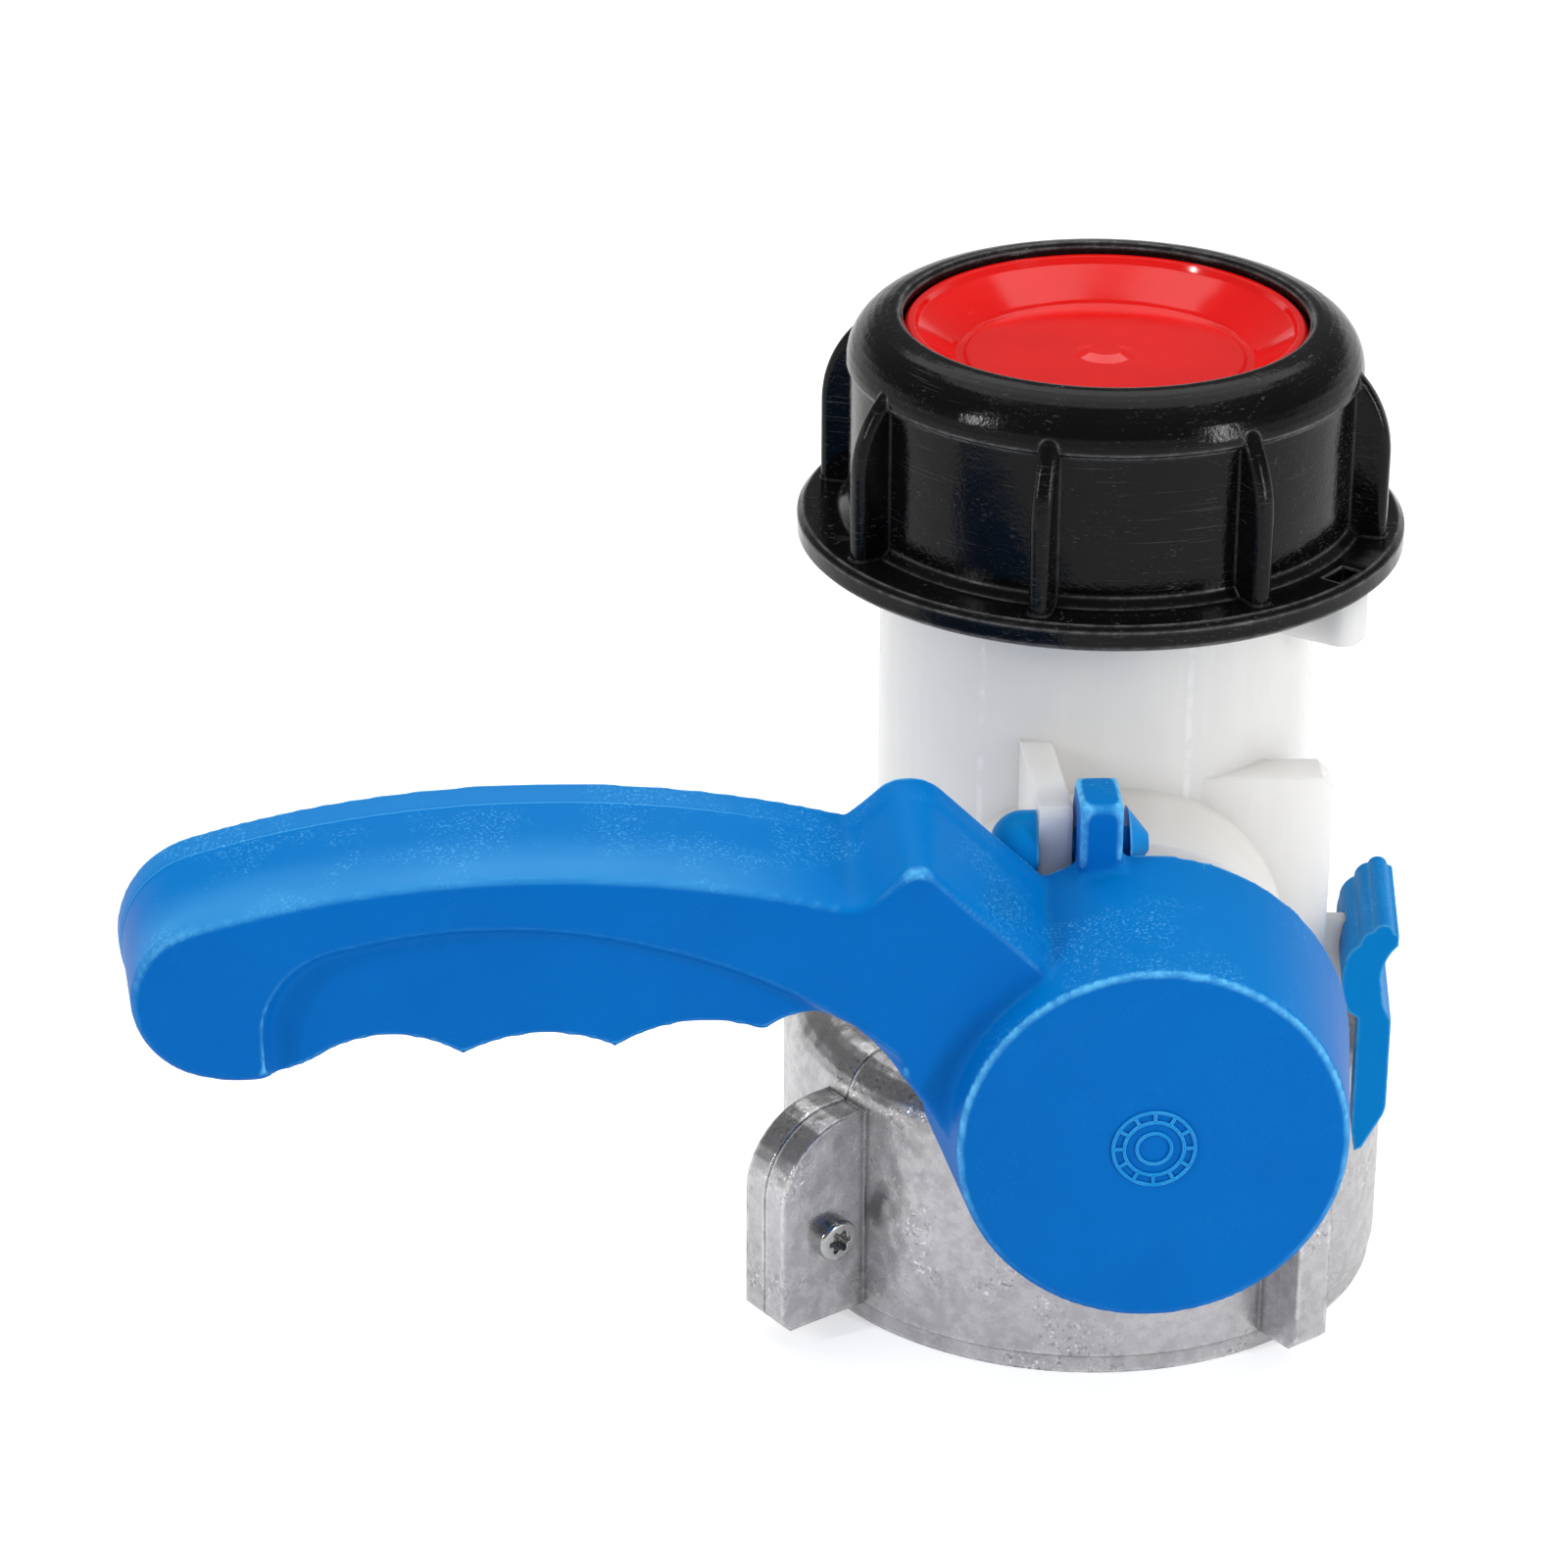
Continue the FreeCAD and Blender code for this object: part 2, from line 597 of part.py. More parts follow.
def stem():
    shaft = cylinder_y(JOURNAL_R, -SOCKET_END, -BORE_R)
    shaft = shaft.fuse([bar_y(SQUARE, SQUARE, -STEM_END, SQUARE_END),
                        cylinder_y(REAR_JOURNAL_R, SQUARE_END, REAR_JOURNAL_END)])
    shaft = shaft.cut([oring_groove(place) for place in ORING_PLACES])
    pins = [pin_z(LEVER_PIN_R, LEVER_PIN_PLACE, SQUARE), pin_z(DISC_PIN_R, DISC_PIN_PLACE, SQUARE)]
    return shaft.cut(pins).removeSplitter()


def sphere(radius):
    return Part.makeSphere(radius, V(0, 0, STEM_HEIGHT))


def disc_seal():
    """Rim ring with an eyelet round the stem at either end."""
    inner_r = DISC_R - SEAL_DEEP
    band = cylinder_z(SEAL_R + 1, STEM_HEIGHT - SEAL_HALF_HIGH, STEM_HEIGHT + SEAL_HALF_HIGH)
    band = band.cut(cylinder_z(inner_r, STEM_HEIGHT - 3 * SEAL_HALF_HIGH, STEM_HEIGHT + 3 * SEAL_HALF_HIGH))
    eyelets = [cylinder_y(DISC_BOSS_R, -SEAL_R, -inner_r), cylinder_y(DISC_BOSS_R, inner_r, SEAL_R)]
    seal = band.fuse(eyelets).common(sphere(SEAL_R))
    return seal.cut(bar_y(SQUARE, SQUARE, -BORE_R, BORE_R)).removeSplitter()


def butterfly_disc(seal):
    low = STEM_HEIGHT - DISC_THICK / 2
    plate = cylinder_z(DISC_R, low, low + DISC_THICK).common(sphere(DISC_R))
    boss = cylinder_y(DISC_BOSS_R, -DISC_R, DISC_R).common(sphere(DISC_R))
    disc = plate.fuse(boss).cut([seal, bar_y(SQUARE, SQUARE, -BORE_R, BORE_R)])
    return disc.cut(pin_z(DISC_PIN_R, DISC_PIN_PLACE, 2 * DISC_BOSS_R)).removeSplitter()


def stem_washer():
    washer = cylinder_y(WASHER_R, -BOSS_REACH - WASHER_THICK, -BOSS_REACH)
    return washer.cut(cylinder_y(JOURNAL_R + SLIDE_GAP, -BOSS_REACH - WASHER_THICK, -BOSS_REACH))


# Lever. An outline is a run of steps in the plane of X and Z, where a point is
# the complex number x + zj, and a step is its start, a point on its arc (or
# None for a straight one) and its end. It runs clockwise, seen from the front.

def spot(left, up):
    return complex(-left, STEM_HEIGHT + up)


def spots(table):
    """A table of starts and arc points, as points of the lever's plane."""
    return [(spot(*start), None if through is None else spot(*through)) for start, through in table]


def arc_centre(start, through, end):
    ratio = (end - start) / (through - start)
    return start - (start - through) * (ratio - abs(ratio) ** 2) / 2j / ratio.imag


def bends_left(step):
    start, through, end = step
    return ((through - start).conjugate() * (end - through)).imag > 0


def heading(step, point):
    """Unit direction of travel at one end of a step."""
    start, through, end = step
    if through is None:
        return (end - start) / abs(end - start)
    spoke = point - arc_centre(start, through, end)
    quarter = 1j if bends_left(step) else -1j
    return spoke / abs(spoke) * quarter


def grown(steps, grow):
    """The outline moved outward all round by one distance."""
    corners = []
    for index, step in enumerate(steps):
        before = heading(steps[index - 1], step[0]) * 1j
        after = heading(step, step[0]) * 1j
        mitre = (before + after) / abs(before + after)
        corners.append(step[0] + mitre * grow / (mitre.conjugate() * after).real)
    moved = []
    for index, (start, through, end) in enumerate(steps):
        if through is not None:
            spoke = through - arc_centre(start, through, end)
            outward = -1 if bends_left((start, through, end)) else 1
            through += outward * spoke / abs(spoke) * grow
        moved.append((corners[index], through, corners[(index + 1) % len(steps)]))
    return moved


def outline_wire(steps, y):
    edges = []
    for start, through, end in steps:
        first = V(start.real, y, start.imag)
        last = V(end.real, y, end.imag)
        if through is None:
            edges.append(Part.LineSegment(first, last).toShape())
        else:
            edges.append(Part.Arc(first, V(through.real, y, through.imag), last).toShape())
    return Part.Wire(edges)


def closed_steps(starts):
    """Steps from (start, through) pairs, the last one back to the first."""
    return [(start, through, starts[(index + 1) % len(starts)][0])
            for index, (start, through) in enumerate(starts)]


def lever_outline():
    end = spot(GRIP_END_LEFT, GRIP_END_UP)
    shoulder = end + GRIP_END_R * complex(-math.sin(GRIP_TOP_TURN), math.cos(GRIP_TOP_TURN))
    heel = end - GRIP_END_R * complex(math.sin(GRIP_HEEL_TURN), math.cos(GRIP_HEEL_TURN))
    starts = [(shoulder, spot(GRIP_TOP_LEFT, GRIP_TOP_UP))] + spots(LEVER_STEPS)
    for index, middle_up in enumerate(SCALLOP_MID_UPS):
        middle = (SCALLOP_LEFTS[index] + SCALLOP_LEFTS[index + 1]) / 2
        starts.append((spot(SCALLOP_LEFTS[index], SCALLOP_UPS[index]), spot(middle, middle_up)))
    starts.append((spot(SCALLOP_LEFTS[-1], SCALLOP_UPS[-1]), spot(GRIP_LOBE_LEFT, GRIP_LOBE_UP)))
    starts.append((heel, end - GRIP_END_R))
    return closed_steps(starts)


def lever_arm():
    """The outline lofted from front to back, with drafted, rounded sides."""
    steps = lever_outline()
    seam_grow = EDGE_ROUND + DRAFT * (LEVER_FRONT - LEVER_SEAM)
    sections = []
    for angle in (0, 22.5, 45, 67.5, 90):
        turn = math.radians(angle)
        depth = EDGE_ROUND * (1 - math.cos(turn))
        sections.append((LEVER_FRONT - depth, EDGE_ROUND * math.sin(turn) + DRAFT * depth))
    sections.append((LEVER_SEAM, seam_grow))
    sections.append((LEVER_SEAM - SEAM_STEP, seam_grow + SEAM_STEP))
    back_grow = seam_grow + SEAM_STEP + DRAFT * (SEAM_OVER_BACK - SEAM_STEP)
    for angle in (0, 45, 90):
        turn = math.radians(angle)
        height = HUB_BACK + BACK_ROUND * (1 - math.sin(turn))
        sections.append((height, back_grow - BACK_ROUND * (1 - math.cos(turn))))
    wires = [outline_wire(grown(steps, grow), -place) for place, grow in sections]
    return Part.makeLoft(wires, True, True)


def finger_recess():
    """Shallow panel let into the front of the grip, open at its foot."""
    steps = closed_steps(spots(RECESS_STEPS))
    top = outline_wire(grown(steps, RECESS_LEAD), -LEVER_FRONT - RECESS_LEAD)
    floor = outline_wire(grown(steps, -RECESS_DRAFT), -LEVER_FRONT + RECESS_DEEP)
    return Part.makeLoft([top, floor], True, True)


def hub_cone(inset, front, back):
    """Round hub with drafted side, less an inset all round."""
    front_r = HUB_FRONT_R + DRAFT * (HUB_FRONT - front) - inset
    back_r = HUB_FRONT_R + DRAFT * (HUB_FRONT - back) - inset
    return Part.makeCone(front_r, back_r, front - back, V(0, -front, STEM_HEIGHT), V(0, 1, 0))


def hub_shell():
    hub = hub_cone(0, HUB_FRONT, HUB_BACK)
    rim = [edge for edge in hub.Edges if edge.BoundBox.YMax < -HUB_FRONT + NEAR]
    return hub.makeFillet(HUB_EDGE_ROUND, rim)


def dial_marks():
    """Two plain rings and a circle of ticks, raised on the hub's face."""
    start = -HUB_FRONT - DIAL_PROUD
    end = -HUB_FRONT + DIAL_PROUD
    marks = []
    for ring_r in DIAL_RINGS:
        outer = cylinder_y(ring_r, start, end)
        marks.append(outer.cut(cylinder_y(ring_r - DIAL_LINE, start, end)))
    for tick in range(DIAL_TICKS):
        mark = Part.makeBox(DIAL_LINE, end - start, DIAL_TICK_LONG,
                            V(-DIAL_LINE / 2, start, STEM_HEIGHT + DIAL_TICK_START))
        mark.rotate(V(0, 0, STEM_HEIGHT), V(0, 1, 0), 360 / DIAL_TICKS * tick)
        marks.append(mark)
    return marks


def seal_tab():
    """Plate on the back rim of the hub, with an eye for the seal pin."""
    foot = STEM_HEIGHT + HUB_BACK_R - HUB_WALL
    under = SEAL_PIN_Z - TAB_UNDER_PIN
    points = [(-TAB_FRONT, foot), (-TAB_FRONT, TAB_TOP - BREAK_EDGE), (BREAK_EDGE - TAB_FRONT, TAB_TOP),
              (-SEAL_PIN_Y, TAB_TOP), (-TAB_BACK, SEAL_PIN_Z + TAB_EYE), (-TAB_BACK, SEAL_PIN_Z - TAB_EYE),
              (-TAB_BACK - BREAK_EDGE, under), (-HUB_BACK, under)]
    return flat_yz(points, TAB_LEFT_X, TAB_WIDTH)


def lever():
    handle = lever_arm().cut(finger_recess())
    handle = handle.fuse(hub_shell())
    handle = handle.cut(hub_cone(HUB_WALL, HUB_FRONT - HUB_FLOOR, HUB_BACK - HUB_WALL))
    socket = cylinder_y(SOCKET_R, -HUB_FRONT + HUB_FLOOR / 2, -SOCKET_END)
    handle = handle.fuse([socket, seal_tab()] + dial_marks())
    square_hole = bar_y(SQUARE, SQUARE, -STEM_END - SLIDE_GAP, -SOCKET_END + LOOSE_GAP)
    tab_hole = bar_x(SEAL_PIN_R + RUN_GAP, TAB_LEFT_X - LOOSE_GAP, LOOSE_GAP - TAB_RIGHT)
    pin_hole = pin_z(LEVER_PIN_R, LEVER_PIN_PLACE, SOCKET_R + LOOSE_GAP)
    return handle.cut([square_hole, tab_hole, pin_hole]).removeSplitter()


# Seal pin, which meets at its shear neck between the ear and the tab

def bar_x(radius, start, end):
    return Part.makeCylinder(radius, end - start, V(start, -SEAL_PIN_Y, SEAL_PIN_Z), V(1, 0, 0))


def seal_pin_head():
    """Domed head against the ear, with the pin's half up to the neck."""
    rim = EAR_LEFT_X - SEAL_HEAD_RIM
    dome = Part.makeSphere(SEAL_HEAD_R, V(rim, -SEAL_PIN_Y, SEAL_PIN_Z))
    dome = dome.common(bar_x(SEAL_HEAD_R + LOOSE_GAP, EAR_LEFT_X - SEAL_HEAD_LONG, rim))
    return dome.fuse([bar_x(SEAL_HEAD_R, rim, EAR_LEFT_X), bar_x(SEAL_PIN_R, rim, SHEAR_X)]).removeSplitter()


def seal_pin_barb():
    base = BARB_NECK - TAB_RIGHT
    cone = Part.makeCone(BARB_R, BARB_TIP_R, BARB_LONG, V(base, -SEAL_PIN_Y, SEAL_PIN_Z), V(1, 0, 0))
    return bar_x(SEAL_PIN_R, SHEAR_X, base + BARB_NECK / 2).fuse(cone).removeSplitter()


# Locking slide

def slide_point(point):
    return None if point is None else complex(BLADE_INNER + point[0], COLLAR_HEIGHT + point[1])


def locking_slide():
    """Blade in front, thumb piece behind it, with the groove for the rail."""
    steps = closed_steps([(slide_point(start), slide_point(through)) for start, through in SLIDE_STEPS])
    profile = Part.Face(outline_wire(steps, -SLIDE_FRONT))
    slide = profile.extrude(V(0, SLIDE_FRONT - SLIDE_BACK, 0))
    behind_blade = Part.makeBox(BLADE_INNER, BLADE_BACK, SLIDE_FOOT, V(BLADE_INNER / 2, -BLADE_BACK, 0))
    slide = slide.cut([behind_blade, rail(SLIDE_GAP, SLIDE_FOOT - LOOSE_GAP)])
    return slide_frame(slide).removeSplitter()


# Screw cap, insert and gasket

def cap_profile():
    dome_centre = (CAP_WALL_R + CAP_DOME_STEP - CAP_DOME_R, CAP_DOME_START)
    dome = round_points(dome_centre, CAP_DOME_R, 0, 90, 10)
    flange_top = CAP_BOTTOM + CAP_FLANGE_THICK
    outer = [(CAP_FLANGE_R - CAP_FLANGE_CORNER, CAP_BOTTOM), (CAP_FLANGE_R, CAP_BOTTOM + CAP_FLANGE_CORNER),
             (CAP_FLANGE_R, flange_top - CAP_FLANGE_EDGE), (CAP_FLANGE_R - CAP_FLANGE_EDGE, flange_top),
             (CAP_WALL_R + CAP_FILLET, flange_top), (CAP_WALL_R, flange_top + CAP_FILLET),
             (CAP_WALL_R, CAP_DOME_START - CAP_DOME_STEP)]
    mouth = [(CAP_MOUTH_R + CAP_MOUTH_EDGE, CAP_TOP), (CAP_MOUTH_R, CAP_TOP - CAP_MOUTH_EDGE),
             (CAP_MOUTH_R, CAP_LIP_UNDER)]
    room = [(CAP_ROOM_R, CAP_LIP_UNDER), (CAP_ROOM_R, CAP_BOTTOM + CAP_FILLET),
            (CAP_ROOM_R + CAP_FILLET, CAP_BOTTOM)]
    return outer + dome + mouth + room


def cap_rib():
    """Upright fin that curves in to the dome, its outer edges rounded."""
    root = CAP_ROOM_R + LOOSE_GAP
    foot = CAP_BOTTOM + CAP_FLANGE_THICK / 2
    turn = math.acos(1 - (RIB_R - root) / RIB_ROUND)
    centre = complex(RIB_R - RIB_ROUND, RIB_TOP - RIB_ROUND * math.sin(turn))
    half, end = [centre + RIB_ROUND * complex(math.cos(angle), math.sin(angle)) for angle in (turn / 2, turn)]
    steps = closed_steps([(complex(root, foot), None), (complex(RIB_R, foot), None),
                          (centre + RIB_ROUND, half), (end, None)])
    rib = Part.Face(outline_wire(steps, -RIB_THICK / 2)).extrude(V(0, RIB_THICK, 0))
    return rib.makeFillet(RIB_EDGE, outer_uprights(rib, RIB_R))


def cap_ring():
    ribs = [turned(cap_rib(), RIB_TURN + 360 / RIB_COUNT * index) for index in range(RIB_COUNT)]
    ring = revolved(cap_profile()).fuse(ribs)
    crest_r = THREAD_ROOT_R + THREAD_GAP
    ridge = thread_ridge(CAP_ROOM_R + THREAD_SINK, crest_r, CAP_THREAD_LOW, CAP_THREAD_HIGH)
    slot = Part.makeBox(WIRE_SLOT_WIDE, WIRE_SLOT_LONG, 3 * CAP_FLANGE_THICK,
                        V(WIRE_SLOT_R, -WIRE_SLOT_LONG / 2, CAP_BOTTOM - CAP_FLANGE_THICK))
    slot_turn = RIB_TURN - 180 / RIB_COUNT
    return ring.cut(turned(slot, slot_turn)).removeSplitter().fuse(ridge)


def cap_insert():
    flange_top = CAP_LIP_UNDER - SLIDE_GAP
    flange_low = flange_top - INSERT_FLANGE_THICK
    wall_r = CAP_MOUTH_R - SLIDE_GAP
    floor_low = DISH_FLOOR_TOP - INSERT_WALL
    trough = DISH_FLOOR_TOP - DISH_TROUGH
    lip_r = wall_r - DISH_LIP_WIDE
    outline = [
        (0, DISH_FLOOR_TOP + BUTTON_HIGH), (BUTTON_TOP_R, DISH_FLOOR_TOP + BUTTON_HIGH),
        (BUTTON_R, DISH_FLOOR_TOP), (DISH_PLATE_R, DISH_FLOOR_TOP),
        (DISH_PLATE_R + DISH_TROUGH, trough), (DISH_FLOOR_R, trough),
        (DISH_FLOOR_R + DISH_TROUGH, DISH_FLOOR_TOP), (lip_r - DISH_TROUGH, DISH_LIP_TOP - 2 * DISH_TROUGH),
        (lip_r, DISH_LIP_TOP), (wall_r - DISH_TROUGH, DISH_LIP_TOP), (wall_r, DISH_LIP_TOP - DISH_TROUGH),
        (wall_r, flange_top), (INSERT_FLANGE_R, flange_top), (INSERT_FLANGE_R, flange_low),
        (BORE_R - SLIDE_GAP, flange_low), (DISH_FLOOR_R + LOOSE_GAP, floor_low), (0, floor_low)]
    return revolved(outline)


def cap_gasket():
    top = CAP_LIP_UNDER - SLIDE_GAP - INSERT_FLANGE_THICK
    ring = cylinder_z(INSERT_FLANGE_R, top - CAP_GASKET_THICK, top)
    return ring.cut(cylinder_z(BORE_R, top - CAP_GASKET_THICK, top))


def main():
    os.makedirs("parts", exist_ok=True)
    save(valve_body(), "valve_body")
    save(gasket_ring(), "inlet_gasket")
    front, rear = collar_halves()
    save(front, "collar_front_half")
    save(rear, "collar_rear_half")
    save(collar_screw(LONG_EAR_SCREW_R, COLLAR_TURN, 1), "collar_screw_long_ear")
    save(collar_screw(SHORT_EAR_SCREW_R, COLLAR_TURN + 180, -1), "collar_screw_short_ear")
    save(stem(), "stem")
    save(oring(ORING_PLACES[0]), "stem_oring_inner")
    save(oring(ORING_PLACES[1]), "stem_oring_outer")
    save(stem_washer(), "stem_washer")
    seal = disc_seal()
    save(seal, "disc_seal")
    save(butterfly_disc(seal), "butterfly_disc")
    save(pin_z(DISC_PIN_R, DISC_PIN_PLACE, DISC_BOSS_R - SLIDE_GAP), "disc_pin")
    save(lever(), "lever")
    save(pin_z(LEVER_PIN_R, LEVER_PIN_PLACE, SOCKET_R - SLIDE_GAP), "lever_pin")
    save(seal_pin_head(), "seal_pin_head")
    save(seal_pin_barb(), "seal_pin_barb")
    save(locking_slide(), "locking_slide")
    save(cap_ring(), "cap_ring")
    save(cap_insert(), "cap_insert")
    save(cap_gasket(), "cap_gasket")


main()
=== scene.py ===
import json
import math

import bmesh
import bpy
from mathutils import Matrix, Vector


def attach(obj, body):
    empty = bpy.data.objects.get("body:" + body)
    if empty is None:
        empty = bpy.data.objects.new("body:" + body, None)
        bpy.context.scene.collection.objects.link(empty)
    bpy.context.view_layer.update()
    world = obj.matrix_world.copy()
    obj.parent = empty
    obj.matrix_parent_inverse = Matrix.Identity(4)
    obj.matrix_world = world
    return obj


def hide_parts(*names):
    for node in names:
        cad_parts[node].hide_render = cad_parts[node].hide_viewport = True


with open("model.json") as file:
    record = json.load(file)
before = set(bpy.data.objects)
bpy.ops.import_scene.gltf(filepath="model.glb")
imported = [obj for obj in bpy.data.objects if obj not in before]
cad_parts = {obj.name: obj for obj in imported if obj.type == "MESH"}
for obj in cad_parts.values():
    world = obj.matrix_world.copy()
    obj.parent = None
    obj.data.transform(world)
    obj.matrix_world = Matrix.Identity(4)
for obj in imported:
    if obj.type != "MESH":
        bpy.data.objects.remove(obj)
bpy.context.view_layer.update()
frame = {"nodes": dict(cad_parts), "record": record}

# A tank outlet valve. Sizes here are in millimetres and become metres where a
# mesh, a lamp or the camera is made. The flow line is the Z axis.
MM = 0.001

# Where the photograph was taken from
CAMERA_PLACE = (-72.52, -642.29, 380.87)
CAMERA_DOWN = 0.449
CAMERA_TURN = 0.0457
CAMERA_ROLL = 0.004
CAMERA_LENS = 117.0
CAMERA_CLIP_M = (0.01, 20.0)
FILM_WIDE = 36.0

# Floor, room and lamps. The room is white all round. Surfaces mirror its
# bright sweep up to the first height of SWEEP_TOP, and its dim ceiling above
# the second one.
FLOOR_HALF = 3000.0
FLOOR_LIFT = 0.3
FLOOR_WHITER = 0.15
ROOM_LIGHT = 0.6
SWEEP_TOP = (0.06, 0.28)
CEILING_LIGHT = 0.18
LAMPS = (
    ("overhead_softbox", (40, 300, 820), (0, 0, 60), (900, 750), 3.4),
    ("right_strip", (650, -620, 320), (0, 0, 90), (52, 440), 3.4),
    ("left_strip", (-850, -430, 480), (0, 0, 90), (56, 330), 2.9))

# Lever moulding, its parting line, and where its grip gets a painted sheen
MERGE_GAP = 0.01
LEVER_GRID = 0.58
LEVER_SMOOTHING = 3
SMOOTHING_SHARE = 0.5
LEVER_SEAM_Y = -62.9
SEAM_HALF = 0.14
GRIP_STARTS = (-40.0, -60.0)
GRIP_SHEEN_SPAN = (-68.0, -77.0)

# Fine pale upright lines on the front of the tube
TUBE_LINES = ((-17.8, -24.15), (9.7, -28.4))
TUBE_LINE_HALF = 0.65

# Rays that a point sends out to feel for edges and corners
CORNER_SAMPLES = 4
EDGE_SAMPLES = 4
ROUNDING_SAMPLES = 6

# Dial on the hub's face
HUB_FACE_Y = -84.6
HUB_CENTRE_Z = 60.0
DIAL_PROUD = 0.3
DIAL_SINK = 0.3
DIAL_LINE = 0.38
DIAL_RINGS = (5.4, 4.0, 2.4)
DIAL_TICKS = 12
RING_STEPS = 64
TICK_FACES = ((0, 1, 2, 3), (4, 5, 6, 7), (0, 1, 5, 4), (1, 2, 6, 5), (2, 3, 7, 6), (3, 0, 4, 7))

# Colours in linear light. A pair is the two ends that soft clouds run between.
BLUES = ((0.0, 0.124, 0.455, 1), (0.0, 0.138, 0.49, 1))
# Painted light: a lighter blue for faces lit from above
BLUE_PAINTED_LIGHT = (0.0, 0.225, 0.62, 1)
# Pale blue of rubbed wear, and of painted highlights and painted sheen
BLUE_WEAR_AND_HIGHLIGHT = (0.12, 0.50, 0.86, 1)
BLACK = (0.003, 0.003, 0.0033, 1)
# Pale grey of scratches and rubbed wear, and of painted edge highlights
BLACK_WEAR_AND_HIGHLIGHT = (0.26, 0.26, 0.262, 1)
DUST = (0.15, 0.15, 0.15, 1)
REDS = ((0.70, 0.004, 0.003, 1), (0.80, 0.006, 0.004, 1))
WHITES = ((0.815, 0.795, 0.765, 1), (0.855, 0.84, 0.812, 1))
WHITE_STREAK = (0.75, 0.73, 0.70, 1)
WHITE_LINE_PALE = (0.98, 0.97, 0.96, 1)
CASTINGS = ((0.36, 0.353, 0.362, 1), (0.50, 0.49, 0.50, 1))
CASTING_PATCH = (0.66, 0.65, 0.66, 1)
# CASTING_BRIGHT is rubbed edges and painted edge highlights; CASTING_DARK is pits and painted
# corner shade
CASTING_BRIGHT = (0.90, 0.89, 0.89, 1)
CASTING_DARK = (0.10, 0.093, 0.09, 1)
SCREW_STEEL = (0.50, 0.50, 0.49, 1)
PIN_STEEL = (0.60, 0.60, 0.59, 1)
STEM_PLASTICS = ((0.66, 0.67, 0.66, 1), (0.74, 0.75, 0.74, 1))
BLACK_RUBBERS = ((0.012, 0.012, 0.012, 1), (0.03, 0.03, 0.03, 1))
PALE_RUBBERS = ((0.52, 0.51, 0.47, 1), (0.62, 0.61, 0.57, 1))
PAPERS = ((0.86, 0.86, 0.86, 1), (0.88, 0.88, 0.88, 1))
STUDIO_WHITE = (1, 1, 1, 1)


# Node trees

def set_inputs(tree, node, inputs):
    """Link each input that is given a socket, and set each other one."""
    for name, value in inputs.items():
        if isinstance(value, bpy.types.NodeSocket):
            tree.links.new(value, node.inputs[name])
        else:
            node.inputs[name].default_value = value


def set_named_inputs(tree, node, inputs):
    """The same, with an underscore for each space in an input's name."""
    set_inputs(tree, node, {name.replace("_", " "): value for name, value in inputs.items()})


def add(tree, kind, inputs=None, **settings):
    """A new node with its settings, and its inputs set or linked."""
    made = tree.nodes.new(kind)
    for name, value in settings.items():
        setattr(made, name, value)
    set_inputs(tree, made, inputs or {})
    return made


def maths(tree, operation, first, second=0.5, third=0.5):
    node = add(tree, "ShaderNodeMath", {0: first, 1: second, 2: third}, operation=operation)
    return node.outputs[0]


def vector_maths(tree, operation, first, second, output="Vector"):
    node = add(tree, "ShaderNodeVectorMath", {0: first, 1: second}, operation=operation)
    return node.outputs[output]


def smooth_step(tree, value, low, high):
    node = add(tree, "ShaderNodeMapRange", {"Value": value, "From Min": low, "From Max": high},
               interpolation_type="SMOOTHSTEP")
    return node.outputs["Result"]


def blend_colours(tree, share, first, second):
    node = add(tree, "ShaderNodeMix", {0: share, 6: first, 7: second}, data_type="RGBA")
    return node.outputs[2]


def blend_values(tree, share, first, second):
    node = add(tree, "ShaderNodeMix", {0: share, 2: first, 3: second}, data_type="FLOAT")
    return node.outputs[0]


def new_group(name, inputs, outputs):
    """An empty node group with named sockets, and its two end nodes."""
    tree = bpy.data.node_groups.new(name, "ShaderNodeTree")
    for label, kind, value in inputs:
        socket = tree.interface.new_socket(label, in_out="INPUT", socket_type="NodeSocket" + kind)
        socket.default_value = value
    for label, kind in outputs:
        tree.interface.new_socket(label, in_out="OUTPUT", socket_type="NodeSocket" + kind)
    return tree, tree.nodes.new("NodeGroupInput"), tree.nodes.new("NodeGroupOutput")


def place_group(tree, group, **inputs):
    """One of the groups, with this material's own values."""
    node = tree.nodes.new("ShaderNodeGroup")
    node.node_tree = group
    set_named_inputs(tree, node, inputs)
    return node.outputs[0]


def place_in_mm(tree):
    """The point on the piece, in millimetres, which moves with the piece."""
    point = add(tree, "ShaderNodeTexCoord").outputs["Object"]
    node = add(tree, "ShaderNodeVectorMath", {0: point, "Scale": 1 / MM}, operation="SCALE")
    return node.outputs[0]


def upward_part(tree):
    """How much a surface faces up, from -1 to 1."""
    normal = add(tree, "ShaderNodeNewGeometry").outputs["Normal"]
    return add(tree, "ShaderNodeSeparateXYZ", {0: normal}).outputs["Z"]


def noise(tree, vector, size, detail=3.0, roughness=0.55):
    scale = maths(tree, "DIVIDE", 1.0, size)
    node = add(tree, "ShaderNodeTexNoise",
               {"Vector": vector, "Scale": scale, "Detail": detail, "Roughness": roughness})
    return node.outputs["Fac"]


def blotches_group():
    """Soft-edged patches of a given size, over a given share of the surface."""
    tree, start, end = new_group(
        "Blotches",
        [("Size", "Float", 8.0), ("Share", "Float", 0.5), ("Softness", "Float", 0.1),
         ("Offset", "Vector", (0, 0, 0))],
        [("Mask", "Float")])
    moved = vector_maths(tree, "ADD", place_in_mm(tree), start.outputs["Offset"])
    cloud = noise(tree, moved, start.outputs["Size"], 5.0, 0.6)
    edge = maths(tree, "MULTIPLY_ADD", start.outputs["Share"], -0.5, 0.75)
    low = maths(tree, "SUBTRACT", edge, start.outputs["Softness"])
    high = maths(tree, "ADD", edge, start.outputs["Softness"])
    tree.links.new(smooth_step(tree, cloud, low, high), end.inputs["Mask"])
    return tree


